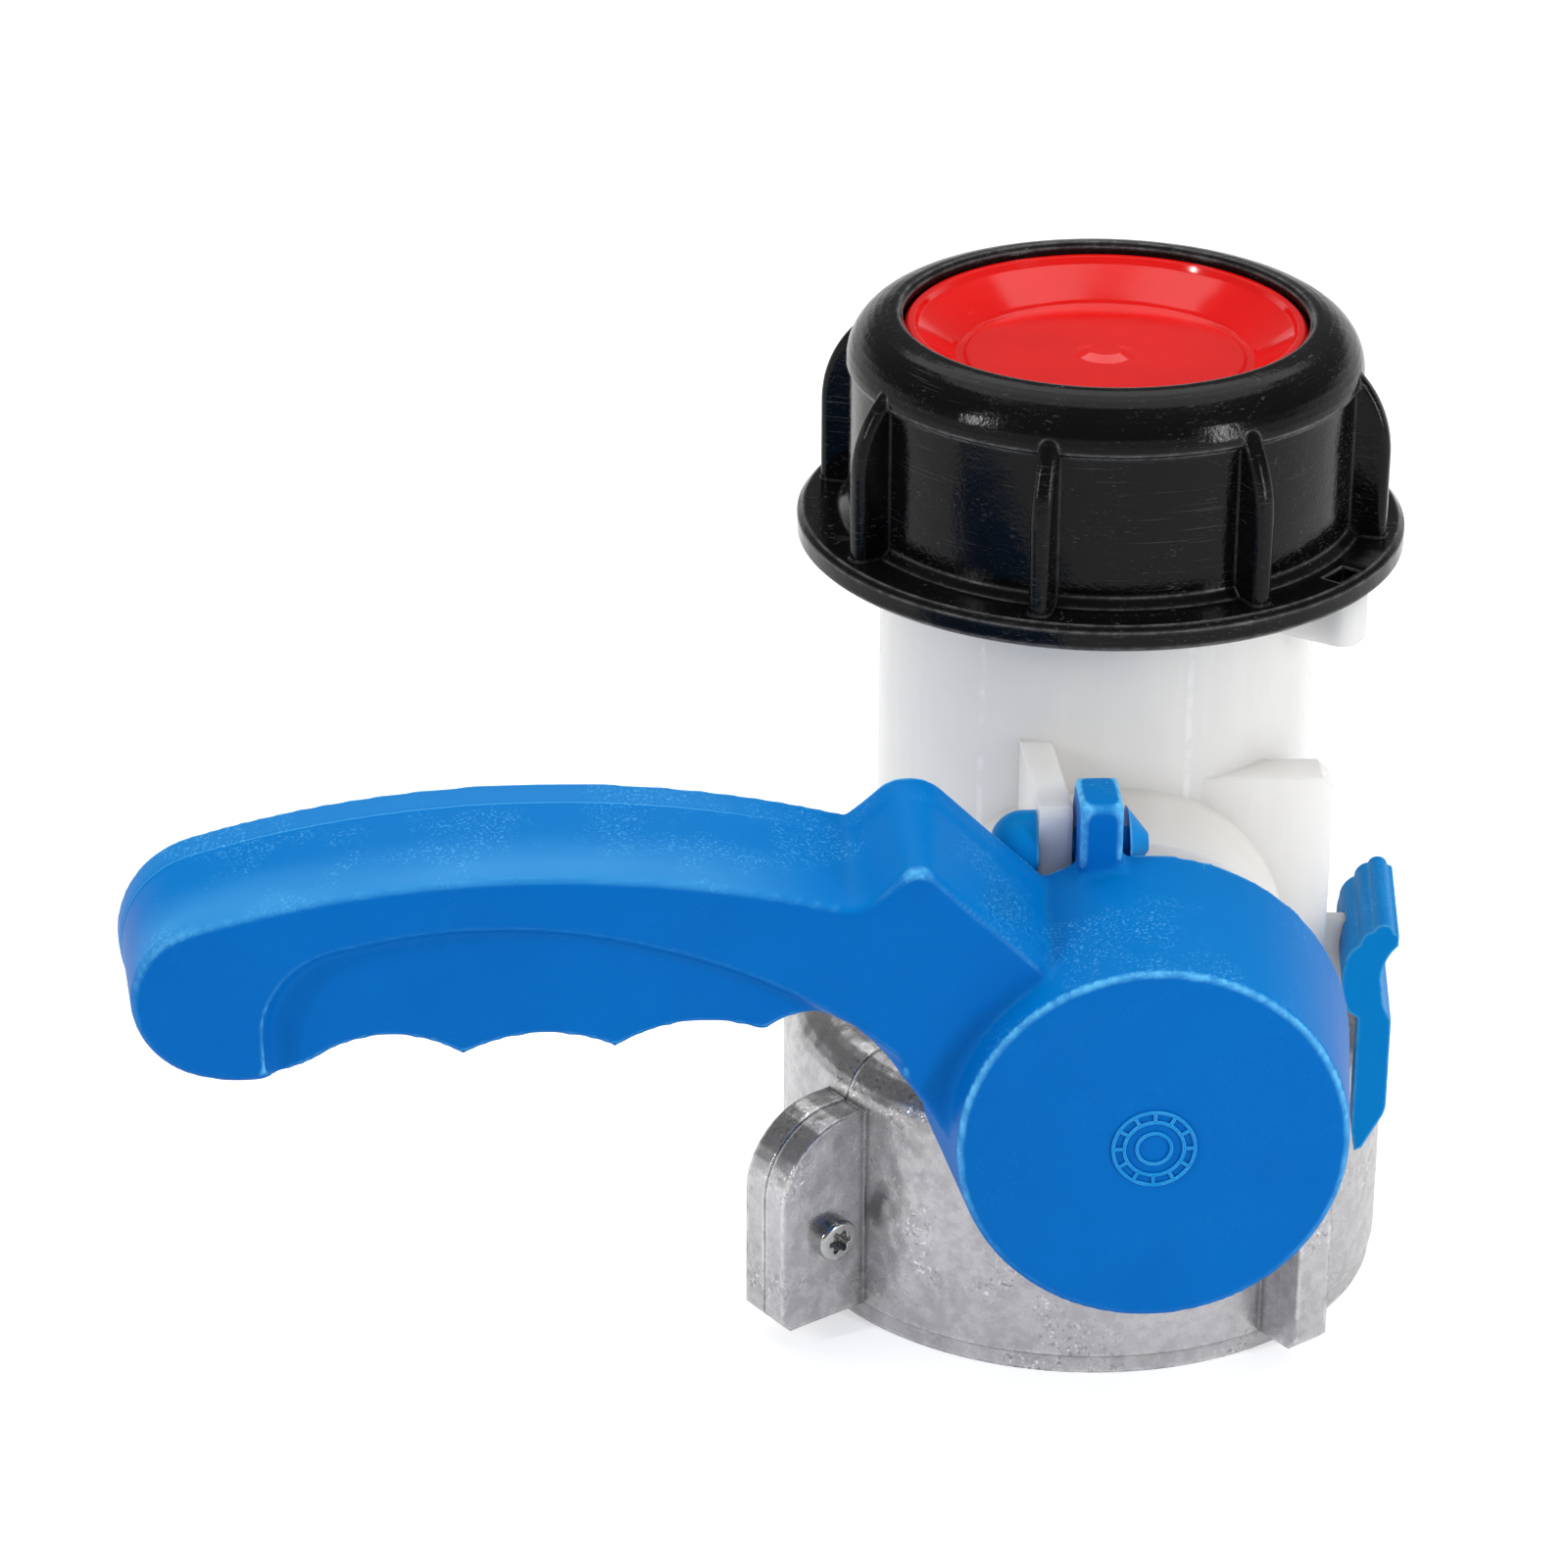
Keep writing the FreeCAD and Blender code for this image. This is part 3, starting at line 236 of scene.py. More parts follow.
def scratches_group():
    """Thin broken lines, with Stretch for their size along each axis."""
    tree, start, end = new_group(
        "Scratches",
        [("Stretch", "Vector", (15.0, 0.2, 0.2)), ("Share", "Float", 0.2), ("Patch", "Float", 9.0)],
        [("Mask", "Float")])
    point = place_in_mm(tree)
    stretched = vector_maths(tree, "DIVIDE", point, start.outputs["Stretch"])
    lines = noise(tree, stretched, 1.0, 2.0, 0.5)
    edge = maths(tree, "MULTIPLY_ADD", start.outputs["Share"], -0.3, 0.72)
    thin = smooth_step(tree, lines, edge, maths(tree, "ADD", edge, 0.04))
    patches = smooth_step(tree, noise(tree, point, start.outputs["Patch"], 2.0), 0.42, 0.62)
    tree.links.new(maths(tree, "MULTIPLY", thin, patches), end.inputs["Mask"])
    return tree


def inner_corners_group():
    """How deep in an inner corner a point lies."""
    tree, start, end = new_group("Inner corners", [("Reach", "Float", 1.5)], [("Mask", "Float")])
    metres = maths(tree, "MULTIPLY", start.outputs["Reach"], MM)
    light = add(tree, "ShaderNodeAmbientOcclusion", {"Distance": metres},
                samples=CORNER_SAMPLES, only_local=True)
    tree.links.new(smooth_step(tree, light.outputs["AO"], 0.95, 0.6), end.inputs["Mask"])
    return tree


def sharp_edges_group():
    """How near a sharp outer edge lies."""
    tree, start, end = new_group("Sharp edges", [("Radius", "Float", 0.6)], [("Mask", "Float")])
    metres = maths(tree, "MULTIPLY", start.outputs["Radius"], MM)
    bevel = add(tree, "ShaderNodeBevel", {"Radius": metres}, samples=EDGE_SAMPLES)
    flat = add(tree, "ShaderNodeNewGeometry").outputs["Normal"]
    same = vector_maths(tree, "DOT_PRODUCT", bevel.outputs["Normal"], flat, "Value")
    edge = smooth_step(tree, maths(tree, "SUBTRACT", 1.0, same), 0.01, 0.14)
    reach = maths(tree, "MULTIPLY", start.outputs["Radius"], 2.0)
    outer = maths(tree, "SUBTRACT", 1.0, place_group(tree, INNER_CORNERS, Reach=reach))
    tree.links.new(maths(tree, "MULTIPLY", edge, outer), end.inputs["Mask"])
    return tree


def round_edges_group():
    """Where a dense, rounded mesh bulges, as along a moulded edge."""
    tree, start, end = new_group(
        "Round edges", [("Low", "Float", 0.53), ("High", "Float", 0.60)], [("Mask", "Float")])
    bulge = add(tree, "ShaderNodeNewGeometry").outputs["Pointiness"]
    edge = smooth_step(tree, bulge, start.outputs["Low"], start.outputs["High"])
    tree.links.new(edge, end.inputs["Mask"])
    return tree


def broken_group():
    """Part of a mask, in patches along it."""
    tree, start, end = new_group(
        "Broken", [("Whole", "Float", 1.0), ("Amount", "Float", 1.0), ("Patch", "Float", 4.0)],
        [("Mask", "Float")])
    cloud = noise(tree, place_in_mm(tree), start.outputs["Patch"], 6.0, 0.7)
    patches = smooth_step(tree, cloud, 0.38, 0.6)
    rubbed = maths(tree, "MULTIPLY", start.outputs["Whole"], patches)
    tree.links.new(maths(tree, "MULTIPLY", rubbed, start.outputs["Amount"]), end.inputs["Mask"])
    return tree


def seam_group():
    """Thin line where the grip's mould halves met, and the paler strip behind it."""
    tree, start, end = new_group("Seam", [("Strip", "Float", 0.2)], [("Mask", "Float")])
    place = add(tree, "ShaderNodeSeparateXYZ", {0: place_in_mm(tree)}).outputs
    behind = maths(tree, "SUBTRACT", place["Y"], LEVER_SEAM_Y)
    line = smooth_step(tree, maths(tree, "ABSOLUTE", behind), SEAM_HALF, SEAM_HALF / 2)
    strip = maths(tree, "MULTIPLY", smooth_step(tree, behind, 0.0, 0.4), start.outputs["Strip"])
    both = maths(tree, "MAXIMUM", line, strip)
    on_grip = smooth_step(tree, place["X"], *GRIP_STARTS)
    tree.links.new(maths(tree, "MULTIPLY", both, on_grip), end.inputs["Mask"])
    return tree


def soft_grain_group():
    """Normal with small outer and inner edges rounded, and a fine grain."""
    tree, start, end = new_group(
        "Soft edges and grain",
        [("Radius", "Float", 0.5), ("Grain size", "Float", 0.5), ("Grain depth", "Float", 0.01),
         ("Wave size", "Float", 12.0), ("Wave depth", "Float", 0.02)],
        [("Normal", "Vector")])
    metres = maths(tree, "MULTIPLY", start.outputs["Radius"], MM)
    bevel = add(tree, "ShaderNodeBevel", {"Radius": metres}, samples=ROUNDING_SAMPLES)
    point = place_in_mm(tree)
    fine = maths(tree, "MULTIPLY", noise(tree, point, start.outputs["Grain size"], 3.0),
                 start.outputs["Grain depth"])
    broad = maths(tree, "MULTIPLY", noise(tree, point, start.outputs["Wave size"], 1.0),
                  start.outputs["Wave depth"])
    height = maths(tree, "MULTIPLY", maths(tree, "ADD", fine, broad), MM)
    bump = add(tree, "ShaderNodeBump", {"Strength": 1.0, "Distance": 1.0, "Height": height,
                                        "Normal": bevel.outputs["Normal"]})
    tree.links.new(bump.outputs["Normal"], end.inputs["Normal"])
    return tree


def top_dust_group():
    """Pale specks and film on what faces up."""
    tree, start, end = new_group(
        "Dust on top",
        [("Amount", "Float", 0.5), ("Speck size", "Float", 0.6)],
        [("Mask", "Float")])
    facing = smooth_step(tree, upward_part(tree), 0.2, 0.95)
    point = place_in_mm(tree)
    specks = smooth_step(tree, noise(tree, point, start.outputs["Speck size"], 2.0), 0.66, 0.74)
    film = maths(tree, "MULTIPLY", noise(tree, point, 14.0, 3.0), 0.25)
    both = maths(tree, "MULTIPLY", maths(tree, "ADD", specks, film), facing)
    tree.links.new(maths(tree, "MULTIPLY", both, start.outputs["Amount"]), end.inputs["Mask"])
    return tree


def grip_painted_sheen_group():
    """Painted sheen along the top of the grip, strongest towards its front edge."""
    tree, start, end = new_group("Grip painted sheen", [("Amount", "Float", 1.0)], [("Mask", "Float")])
    point = place_in_mm(tree)
    place = add(tree, "ShaderNodeSeparateXYZ", {0: point}).outputs
    long_way = vector_maths(tree, "DIVIDE", point, (24.0, 7.0, 7.0))
    patches = maths(tree, "ADD", noise(tree, long_way, 1.0, 1.0), 0.3)
    front = maths(tree, "MULTIPLY", patches, smooth_step(tree, place["Y"], *GRIP_SHEEN_SPAN))
    both = maths(tree, "MULTIPLY", front, smooth_step(tree, place["X"], *GRIP_STARTS))
    tree.links.new(maths(tree, "MULTIPLY", both, start.outputs["Amount"]), end.inputs["Mask"])
    return tree


def tube_pale_lines_group():
    """Fine pale upright lines on the front of the tube."""
    tree, _, end = new_group("Tube pale lines", [], [("Mask", "Float")])
    flat = vector_maths(tree, "MULTIPLY", place_in_mm(tree), (1, 1, 0))
    lines = 0.0
    for place in TUBE_LINES:
        gap = vector_maths(tree, "DISTANCE", flat, place + (0,), "Value")
        line = smooth_step(tree, gap, TUBE_LINE_HALF, TUBE_LINE_HALF / 3)
        lines = maths(tree, "MAXIMUM", line, lines)
    tree.links.new(lines, end.inputs["Mask"])
    return tree


BLOTCHES = blotches_group()
SCRATCHES = scratches_group()
INNER_CORNERS = inner_corners_group()
SHARP_EDGES = sharp_edges_group()
ROUND_EDGES = round_edges_group()
BROKEN = broken_group()
SEAM = seam_group()
GRIP_PAINTED_SHEEN = grip_painted_sheen_group()
TUBE_PALE_LINES = tube_pale_lines_group()
SOFT_GRAIN = soft_grain_group()
TOP_DUST = top_dust_group()


def worn_edges(tree, radius, amount, patch):
    """Where sharp outer edges are rubbed, in broken patches along them."""
    edges = place_group(tree, SHARP_EDGES, Radius=radius)
    return place_group(tree, BROKEN, Whole=edges, Amount=amount, Patch=patch)


def new_material(name):
    material = bpy.data.materials.new(name)
    material.use_nodes = True
    tree = material.node_tree
    return material, tree, tree.nodes["Principled BSDF"]


def finish_shader(tree, shader, **inputs):
    set_named_inputs(tree, shader, inputs)


# Materials, one for each finish

def blue_moulded_plastic(name, edge, lever=False):
    """Satin blue, frosted by rubbing and painted lighter on top, with painted edge highlights."""
    material, tree, shader = new_material(name)
    cloud = place_group(tree, BLOTCHES, Size=26.0, Share=0.5, Softness=0.25)
    base = blend_colours(tree, cloud, *BLUES)
    up = upward_part(tree)
    upward = smooth_step(tree, up, 0.15, 0.9)
    # Painted light: upward faces turn the lighter blue, and every piece but the lever is painted in
    # that lighter blue nearly all over
    painted_light = maths(tree, "MULTIPLY_ADD", upward, 0.5, 0.0 if lever else 0.9)
    base = blend_colours(tree, painted_light, base, BLUE_PAINTED_LIGHT)
    specks = place_group(tree, BLOTCHES, Size=0.42, Share=0.34, Softness=0.05,
                         Offset=(5.0, 2.0, 9.0))
    rubbed = place_group(tree, BLOTCHES, Size=13.0, Share=0.42, Softness=0.07,
                         Offset=(14.0, 3.0, 1.0))
    frosted = maths(tree, "MULTIPLY", maths(tree, "MULTIPLY", specks, rubbed),
                    maths(tree, "ADD", upward, 0.06))
    if lever:
        edges = place_group(tree, ROUND_EDGES, Low=0.518, High=0.542)
        # Painted sheen on the top of the grip, kept with the seam line in marks
        painted_sheen = place_group(tree, GRIP_PAINTED_SHEEN, Amount=upward)
        marks = maths(tree, "MAXIMUM", place_group(tree, SEAM, Strip=0.3), painted_sheen)
    else:
        edges = place_group(tree, SHARP_EDGES, Radius=edge + 0.2)
        marks = 0.0
    # Painted highlight: pale lines along the upper edges; the broken patches on them are rubbed
    # wear
    edges = maths(tree, "MULTIPLY", edges, smooth_step(tree, up, -0.5, 0.1))
    chafed = place_group(tree, BROKEN, Whole=edges, Amount=0.65, Patch=3.0)
    pale = maths(tree, "MULTIPLY_ADD", edges, 0.5, chafed)
    pale = maths(tree, "MULTIPLY_ADD", frosted, 0.4, pale)
    pale = maths(tree, "MULTIPLY_ADD", marks, 0.35, pale)
    colour = blend_colours(tree, pale, base, BLUE_WEAR_AND_HIGHLIGHT)
    rough = maths(tree, "MULTIPLY_ADD", cloud, 0.06, 0.38)
    rough = maths(tree, "MULTIPLY_ADD", frosted, 0.2, rough)
    normal = place_group(tree, SOFT_GRAIN, Radius=edge, Grain_size=0.45, Grain_depth=0.006,
                         Wave_size=16.0, Wave_depth=0.08)
    finish_shader(tree, shader, Base_Color=colour, Roughness=rough, Normal=normal,
                  Specular_IOR_Level=0.05, Subsurface_Weight=0.1, Subsurface_Scale=0.001,
                  Subsurface_Radius=(0.1, 0.6, 1.0))
    return material


def black_moulded_plastic():
    """Semi-gloss black with fine scratches round and across it, and painted edge highlights."""
    material, tree, shader = new_material("Black moulded plastic")
    around = place_group(tree, SCRATCHES, Stretch=(14.0, 14.0, 0.14), Share=0.20, Patch=9.0)
    across = place_group(tree, SCRATCHES, Stretch=(0.9, 0.9, 0.22), Share=0.28, Patch=7.0)
    cloud = place_group(tree, BLOTCHES, Size=12.0, Share=0.5, Softness=0.2)
    edges = place_group(tree, SHARP_EDGES, Radius=0.7)
    worn = place_group(tree, BROKEN, Whole=edges, Amount=0.8, Patch=2.2)
    dust = place_group(tree, TOP_DUST, Amount=0.25, Speck_size=0.5)
    marks = maths(tree, "MAXIMUM", around, across)
    pale = maths(tree, "MULTIPLY_ADD", marks, 0.14, maths(tree, "MULTIPLY", worn, 0.65))
    # Painted highlight: pale lines along every sharp edge
    pale = maths(tree, "MULTIPLY_ADD", edges, 0.4, pale)
    colour = blend_colours(tree, pale, BLACK, BLACK_WEAR_AND_HIGHLIGHT)
    colour = blend_colours(tree, maths(tree, "MULTIPLY", dust, 0.4), colour, DUST)
    rough = maths(tree, "MULTIPLY_ADD", cloud, 0.10, 0.07)
    rough = maths(tree, "MULTIPLY_ADD", maths(tree, "MAXIMUM", marks, worn), 0.25, rough)
    normal = place_group(tree, SOFT_GRAIN, Radius=0.5, Grain_size=0.6, Grain_depth=0.04,
                         Wave_size=4.0, Wave_depth=0.07)
    finish_shader(tree, shader, Base_Color=colour, Roughness=rough, Normal=normal,
                  Specular_IOR_Level=0.15)
    return material


def red_glossy_plastic():
    """Glossy red with faint rings round it."""
    material, tree, shader = new_material("Red glossy plastic")
    cloud = place_group(tree, BLOTCHES, Size=15.0, Share=0.5, Softness=0.3)
    rings = place_group(tree, SCRATCHES, Stretch=(9.0, 9.0, 0.3), Share=0.12, Patch=8.0)
    base = blend_colours(tree, cloud, *REDS)
    rough = maths(tree, "MULTIPLY_ADD", cloud, 0.05, 0.09)
    rough = maths(tree, "MULTIPLY_ADD", rings, 0.2, rough)
    normal = place_group(tree, SOFT_GRAIN, Radius=0.3, Grain_size=0.5, Grain_depth=0.002,
                         Wave_size=9.0, Wave_depth=0.06)
    finish_shader(tree, shader, Base_Color=base, Roughness=rough, Normal=normal,
                  Specular_IOR_Level=0.5, Subsurface_Weight=0.05, Subsurface_Scale=0.001,
                  Subsurface_Radius=(1.0, 0.1, 0.1))
    return material


def white_natural_plastic():
    """Milky plastic that light soaks into, with faint flow streaks."""
    material, tree, shader = new_material("White natural plastic")
    streaks = place_group(tree, SCRATCHES, Stretch=(3.5, 3.5, 45.0), Share=0.75, Patch=30.0)
    cloud = place_group(tree, BLOTCHES, Size=22.0, Share=0.5, Softness=0.3)
    base = blend_colours(tree, cloud, *WHITES)
    base = blend_colours(tree, maths(tree, "MULTIPLY", streaks, 0.14), base, WHITE_STREAK)
    pale_lines = place_group(tree, BROKEN, Whole=place_group(tree, TUBE_PALE_LINES), Amount=0.8, Patch=7.0)
    base = blend_colours(tree, pale_lines, base, WHITE_LINE_PALE)
    rough = maths(tree, "MULTIPLY_ADD", cloud, 0.08, 0.20)
    normal = place_group(tree, SOFT_GRAIN, Radius=0.6, Grain_size=0.6, Grain_depth=0.005,
                         Wave_size=14.0, Wave_depth=0.08)
    finish_shader(tree, shader, Base_Color=base, Roughness=rough, Normal=normal,
                  Specular_IOR_Level=0.4, Subsurface_Weight=0.9, Subsurface_Scale=0.014,
                  Subsurface_Radius=(1.0, 0.97, 0.93))
    return material


def cast_aluminium():
    """Mottled grey casting: dark pits, rubbed edges painted pale as highlights, painted corner
    shade.
    """
    material, tree, shader = new_material("Cast aluminium")
    broad = place_group(tree, BLOTCHES, Size=15.0, Share=0.5, Softness=0.25)
    small = place_group(tree, BLOTCHES, Size=2.0, Share=0.5, Softness=0.14,
                        Offset=(31.0, 7.0, 5.0))
    rashes = place_group(tree, BLOTCHES, Size=12.0, Share=0.35, Softness=0.08,
                         Offset=(12.0, 1.0, 8.0))
    pits = place_group(tree, BLOTCHES, Size=0.7, Share=0.32, Softness=0.03,
                       Offset=(3.0, 11.0, 19.0))
    flecks = place_group(tree, BLOTCHES, Size=0.6, Share=0.30, Softness=0.03,
                         Offset=(9.0, 4.0, 2.0))
    worn = worn_edges(tree, 1.2, 1.0, 3.0)
    base = blend_colours(tree, broad, *CASTINGS)
    base = blend_colours(tree, maths(tree, "MULTIPLY", small, 0.35), base, CASTING_PATCH)
    # Pale edges: rubbed wear, and painted highlights along them
    bright = maths(tree, "MAXIMUM", worn, maths(tree, "MULTIPLY", flecks, rashes))
    base = blend_colours(tree, maths(tree, "MULTIPLY", bright, 0.8), base, CASTING_BRIGHT)
    pitted = maths(tree, "MULTIPLY", pits, maths(tree, "MULTIPLY_ADD", rashes, 0.5, 0.08))
    # Painted shade: inner corners are darkened, and dark joins them with the pits
    corners = maths(tree, "MULTIPLY", place_group(tree, INNER_CORNERS, Reach=1.4), 0.7)
    dark = maths(tree, "MAXIMUM", pitted, corners)
    base = blend_colours(tree, dark, base, CASTING_DARK)
    rough = maths(tree, "MULTIPLY_ADD", small, -0.08, 0.32)
    rough = maths(tree, "MULTIPLY_ADD", bright, -0.18, rough)
    normal = place_group(tree, SOFT_GRAIN, Radius=0.7, Grain_size=0.7, Grain_depth=0.035,
                         Wave_size=5.0, Wave_depth=0.45)
    finish_shader(tree, shader, Base_Color=base, Roughness=rough, Normal=normal, Metallic=0.9)
    return material


def plain_metal(name, colour, roughness, stretch):
    """Steel with fine lines and darker clouds."""
    material, tree, shader = new_material(name)
    lines = place_group(tree, SCRATCHES, Stretch=stretch, Share=0.5, Patch=3.0)
    cloud = place_group(tree, BLOTCHES, Size=1.8, Share=0.5, Softness=0.2)
    darker = tuple(part * 0.6 for part in colour[:3]) + (1,)
    base = blend_colours(tree, maths(tree, "MULTIPLY", cloud, 0.5), colour, darker)
    rough = maths(tree, "MULTIPLY_ADD", lines, 0.2, roughness)
    normal = place_group(tree, SOFT_GRAIN, Radius=0.2, Grain_size=0.3, Grain_depth=0.01,
                         Wave_size=2.0, Wave_depth=0.02)
    finish_shader(tree, shader, Base_Color=base, Roughness=rough, Normal=normal, Metallic=1.0)
    return material


def plain_moulding(name, dark, light, roughness):
    """Rubber or plastic of the inner pieces, with grain and a little wear."""
    material, tree, shader = new_material(name)
    cloud = place_group(tree, BLOTCHES, Size=6.0, Share=0.5, Softness=0.25)
    worn = worn_edges(tree, 0.5, 0.3, 2.0)
    base = blend_colours(tree, maths(tree, "MAXIMUM", cloud, worn), dark, light)
    rough = maths(tree, "MULTIPLY_ADD", cloud, 0.1, roughness)
    normal = place_group(tree, SOFT_GRAIN, Radius=0.4, Grain_size=0.4, Grain_depth=0.012,
                         Wave_size=6.0, Wave_depth=0.04)
    finish_shader(tree, shader, Base_Color=base, Roughness=rough, Normal=normal,
                  Specular_IOR_Level=0.4)
    return material


def all_materials():
    return {
        "lever_blue": blue_moulded_plastic("Blue moulded plastic", 0.45),
        "lever_skin": blue_moulded_plastic("Blue lever plastic", 0.2, lever=True),
        "dial_blue": blue_moulded_plastic("Blue dial plastic", 0.06),
        "cap_black": black_moulded_plastic(),
        "insert_red": red_glossy_plastic(),
        "body_white": white_natural_plastic(),
        "collar_alloy": cast_aluminium(),
        "screw_steel": plain_metal("Plated screw steel", SCREW_STEEL, 0.13, (2.0, 0.1, 0.1)),
        "pin_steel": plain_metal("Ground pin steel", PIN_STEEL, 0.30, (2.0, 2.0, 0.1)),
        "stem_plastic": plain_moulding("Stem plastic", *STEM_PLASTICS, 0.38),
        "seal_rubber": plain_moulding("Black seal rubber", *BLACK_RUBBERS, 0.6),
        "gasket_rubber": plain_moulding("Pale gasket rubber", *PALE_RUBBERS, 0.6)}


MATERIALS = all_materials()


def dress_frame():
    """Give each solid of the frame the material of its slot."""
    for part in frame["record"]["subparts"]:
        solid = frame["nodes"][part["node"]]
        for slot in solid.material_slots:
            slot.material = MATERIALS[part["material_slot"]]


# Pieces

def mesh_piece(name, material, body):
    """An empty mesh object that rides on a body, for bmesh to fill."""
    mesh = bpy.data.meshes.new(name)
    piece = bpy.data.objects.new(name, mesh)
    bpy.context.scene.collection.objects.link(piece)
    mesh.materials.append(MATERIALS[material])
    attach(piece, body)
    return piece


def fill(piece, form):
    """Move a finished bmesh, drawn in millimetres, into a piece."""
    bmesh.ops.scale(form, vec=(MM, MM, MM), verts=form.verts)
    bmesh.ops.recalc_face_normals(form, faces=form.faces)
    form.to_mesh(piece.data)
    form.free()


def lever_moulding():
    """The lever with its edges and hollows run into each other, and no marks on its hub."""
    piece = mesh_piece("lever_moulding", "lever_skin", "lever_and_disc")
    form = bmesh.new()
    form.from_mesh(frame["nodes"]["lever"].data)
    bmesh.ops.remove_doubles(form, verts=form.verts, dist=MERGE_GAP * MM)
    for vert in form.verts:
        vert.co.y = max(vert.co.y, HUB_FACE_Y * MM)
    form.to_mesh(piece.data)
    form.free()
    remesh = piece.modifiers.new("Even grid", "REMESH")
    remesh.mode = "VOXEL"
    remesh.voxel_size = LEVER_GRID * MM
    remesh.use_smooth_shade = True
    smooth = piece.modifiers.new("Soft edges", "SMOOTH")
    smooth.factor = SMOOTHING_SHARE
    smooth.iterations = LEVER_SMOOTHING
    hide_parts("lever")


def add_ring(form, inner, outer):
    """A flat ring standing on the hub's face."""
    loops = []
    for radius, y in ((inner, HUB_FACE_Y + DIAL_SINK), (inner, HUB_FACE_Y - DIAL_PROUD),
                      (outer, HUB_FACE_Y - DIAL_PROUD), (outer, HUB_FACE_Y + DIAL_SINK)):
        loop = []
        for step in range(RING_STEPS):
            angle = 2 * math.pi * step / RING_STEPS
            x, z = radius * math.cos(angle), radius * math.sin(angle)
            loop.append(form.verts.new((x, y, HUB_CENTRE_Z + z)))
        loops.append(loop)
    for index, loop in enumerate(loops):
        beyond = loops[(index + 1) % len(loops)]
        for step in range(RING_STEPS):
            after = (step + 1) % RING_STEPS
            form.faces.new((loop[step], loop[after], beyond[after], beyond[step]))


def add_tick(form, inner, outer, angle):
    """A short bar on the hub's face, pointing at its centre."""
    half = DIAL_LINE / 2
    turn = Matrix.Rotation(angle, 3, "Y")
    centre = Vector((0, 0, HUB_CENTRE_Z))
    corners = []
    for y in (HUB_FACE_Y + DIAL_SINK, HUB_FACE_Y - DIAL_PROUD):
        for x, z in ((-half, inner), (half, inner), (half, outer), (-half, outer)):
            corners.append(form.verts.new(turn @ Vector((x, y, z)) + centre))
    for face in TICK_FACES:
        form.faces.new([corners[index] for index in face])


def hub_dial():
    """Plain moulded dial: rings, and ticks between the outer two."""
    piece = mesh_piece("hub_dial", "dial_blue", "lever_and_disc")
    form = bmesh.new()
    for ring_r in DIAL_RINGS:
        add_ring(form, ring_r - DIAL_LINE, ring_r)
    for tick in range(DIAL_TICKS):
        add_tick(form, DIAL_RINGS[1], DIAL_RINGS[0] - DIAL_LINE, 2 * math.pi * tick / DIAL_TICKS)
    fill(piece, form)


# Camera, floor and light

def make_camera():
    """The camera where the photographer's stood, turned, tipped and rolled."""
    across = Vector((math.cos(CAMERA_TURN), -math.sin(CAMERA_TURN), 0))
    ahead = Vector((math.sin(CAMERA_TURN) * math.cos(CAMERA_DOWN),
                    math.cos(CAMERA_TURN) * math.cos(CAMERA_DOWN), -math.sin(CAMERA_DOWN)))
    up = across.cross(ahead)
    right = math.cos(CAMERA_ROLL) * across + math.sin(CAMERA_ROLL) * up
    above = math.cos(CAMERA_ROLL) * up - math.sin(CAMERA_ROLL) * across
    data = bpy.data.cameras.new("camera")
    data.lens = CAMERA_LENS
    data.sensor_width = FILM_WIDE
    data.clip_start, data.clip_end = CAMERA_CLIP_M
    camera = bpy.data.objects.new("camera", data)
    axes = Matrix((right, above, -ahead)).transposed().to_4x4()
    camera.matrix_world = Matrix.Translation(Vector(CAMERA_PLACE) * MM) @ axes
    bpy.context.scene.collection.objects.link(camera)
    bpy.context.scene.camera = camera


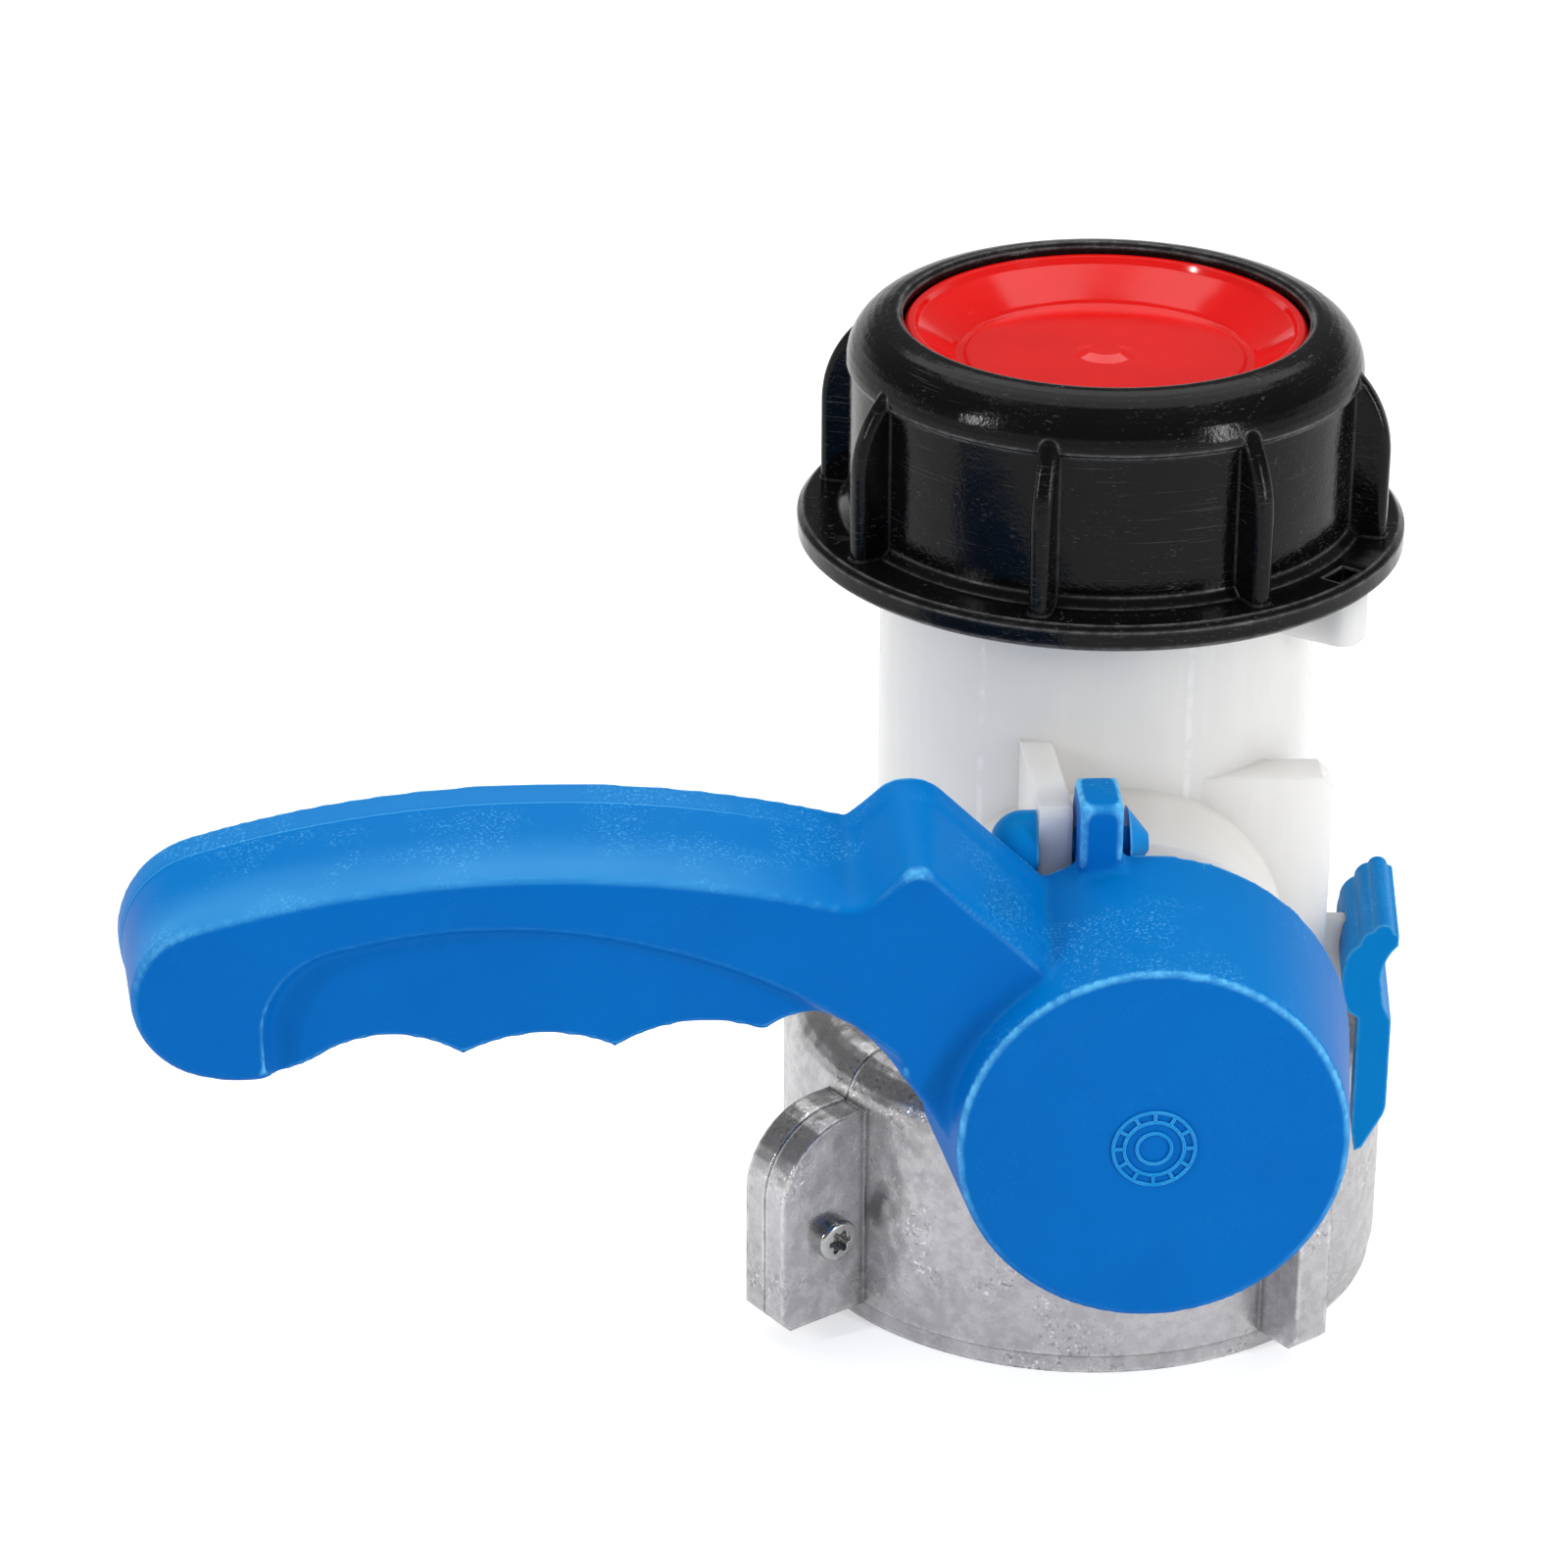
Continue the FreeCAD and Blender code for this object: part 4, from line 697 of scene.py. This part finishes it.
def make_floor():
    """White paper that the camera sees a little brighter than it is lit."""
    mesh = bpy.data.meshes.new("floor")
    half = FLOOR_HALF * MM
    corners = [(-half, -half, 0), (half, -half, 0), (half, half, 0), (-half, half, 0)]
    mesh.from_pydata(corners, [], [(0, 1, 2, 3)])
    floor = bpy.data.objects.new("floor", mesh)
    bpy.context.scene.collection.objects.link(floor)
    material, tree, shader = new_material("White studio floor")
    paper = place_group(tree, BLOTCHES, Size=40.0, Share=0.5, Softness=0.3)
    base = blend_colours(tree, paper, *PAPERS)
    path = add(tree, "ShaderNodeLightPath").outputs
    seen = maths(tree, "MAXIMUM", path["Is Camera Ray"], path["Is Glossy Ray"])
    seen = maths(tree, "MAXIMUM", seen, path["Is Transmission Ray"])
    lift = maths(tree, "MULTIPLY", seen, FLOOR_LIFT)
    lift = maths(tree, "MULTIPLY_ADD", path["Is Camera Ray"], FLOOR_WHITER, lift)
    finish_shader(tree, shader, Base_Color=base, Roughness=0.9, Specular_IOR_Level=0.0,
                  Emission_Color=STUDIO_WHITE, Emission_Strength=lift)
    mesh.materials.append(material)


def make_world():
    """A white room, white to the camera, and darker above in what surfaces mirror."""
    world = bpy.data.worlds.new("studio")
    world.use_nodes = True
    tree = world.node_tree
    path = add(tree, "ShaderNodeLightPath").outputs
    height = add(tree, "ShaderNodeSeparateXYZ",
                 {0: add(tree, "ShaderNodeTexCoord").outputs["Generated"]}).outputs["Z"]
    mirrored = blend_values(tree, smooth_step(tree, height, *SWEEP_TOP), 1.0, CEILING_LIGHT)
    mirroring = maths(tree, "MAXIMUM", path["Is Glossy Ray"], path["Is Transmission Ray"])
    strength = blend_values(tree, mirroring, ROOM_LIGHT, mirrored)
    strength = blend_values(tree, path["Is Camera Ray"], strength, 1.0)
    background = tree.nodes["Background"]
    background.inputs["Color"].default_value = STUDIO_WHITE
    tree.links.new(strength, background.inputs["Strength"])
    bpy.context.scene.world = world


def make_lamp(name, place, target, size, power):
    """A rectangular lamp that faces its target and that the camera can't see."""
    data = bpy.data.lights.new(name, "AREA")
    data.shape = "RECTANGLE"
    data.size = size[0] * MM
    data.size_y = size[1] * MM
    data.energy = power
    lamp = bpy.data.objects.new(name, data)
    lamp.location = Vector(place) * MM
    lamp.rotation_mode = "QUATERNION"
    lamp.rotation_quaternion = (Vector(target) - Vector(place)).to_track_quat("-Z", "Y")
    lamp.visible_camera = False
    bpy.context.scene.collection.objects.link(lamp)


dress_frame()
lever_moulding()
hub_dial()
make_camera()
make_floor()
make_world()
for lamp in LAMPS:
    make_lamp(*lamp)
bpy.context.scene.view_settings.view_transform = "Standard"
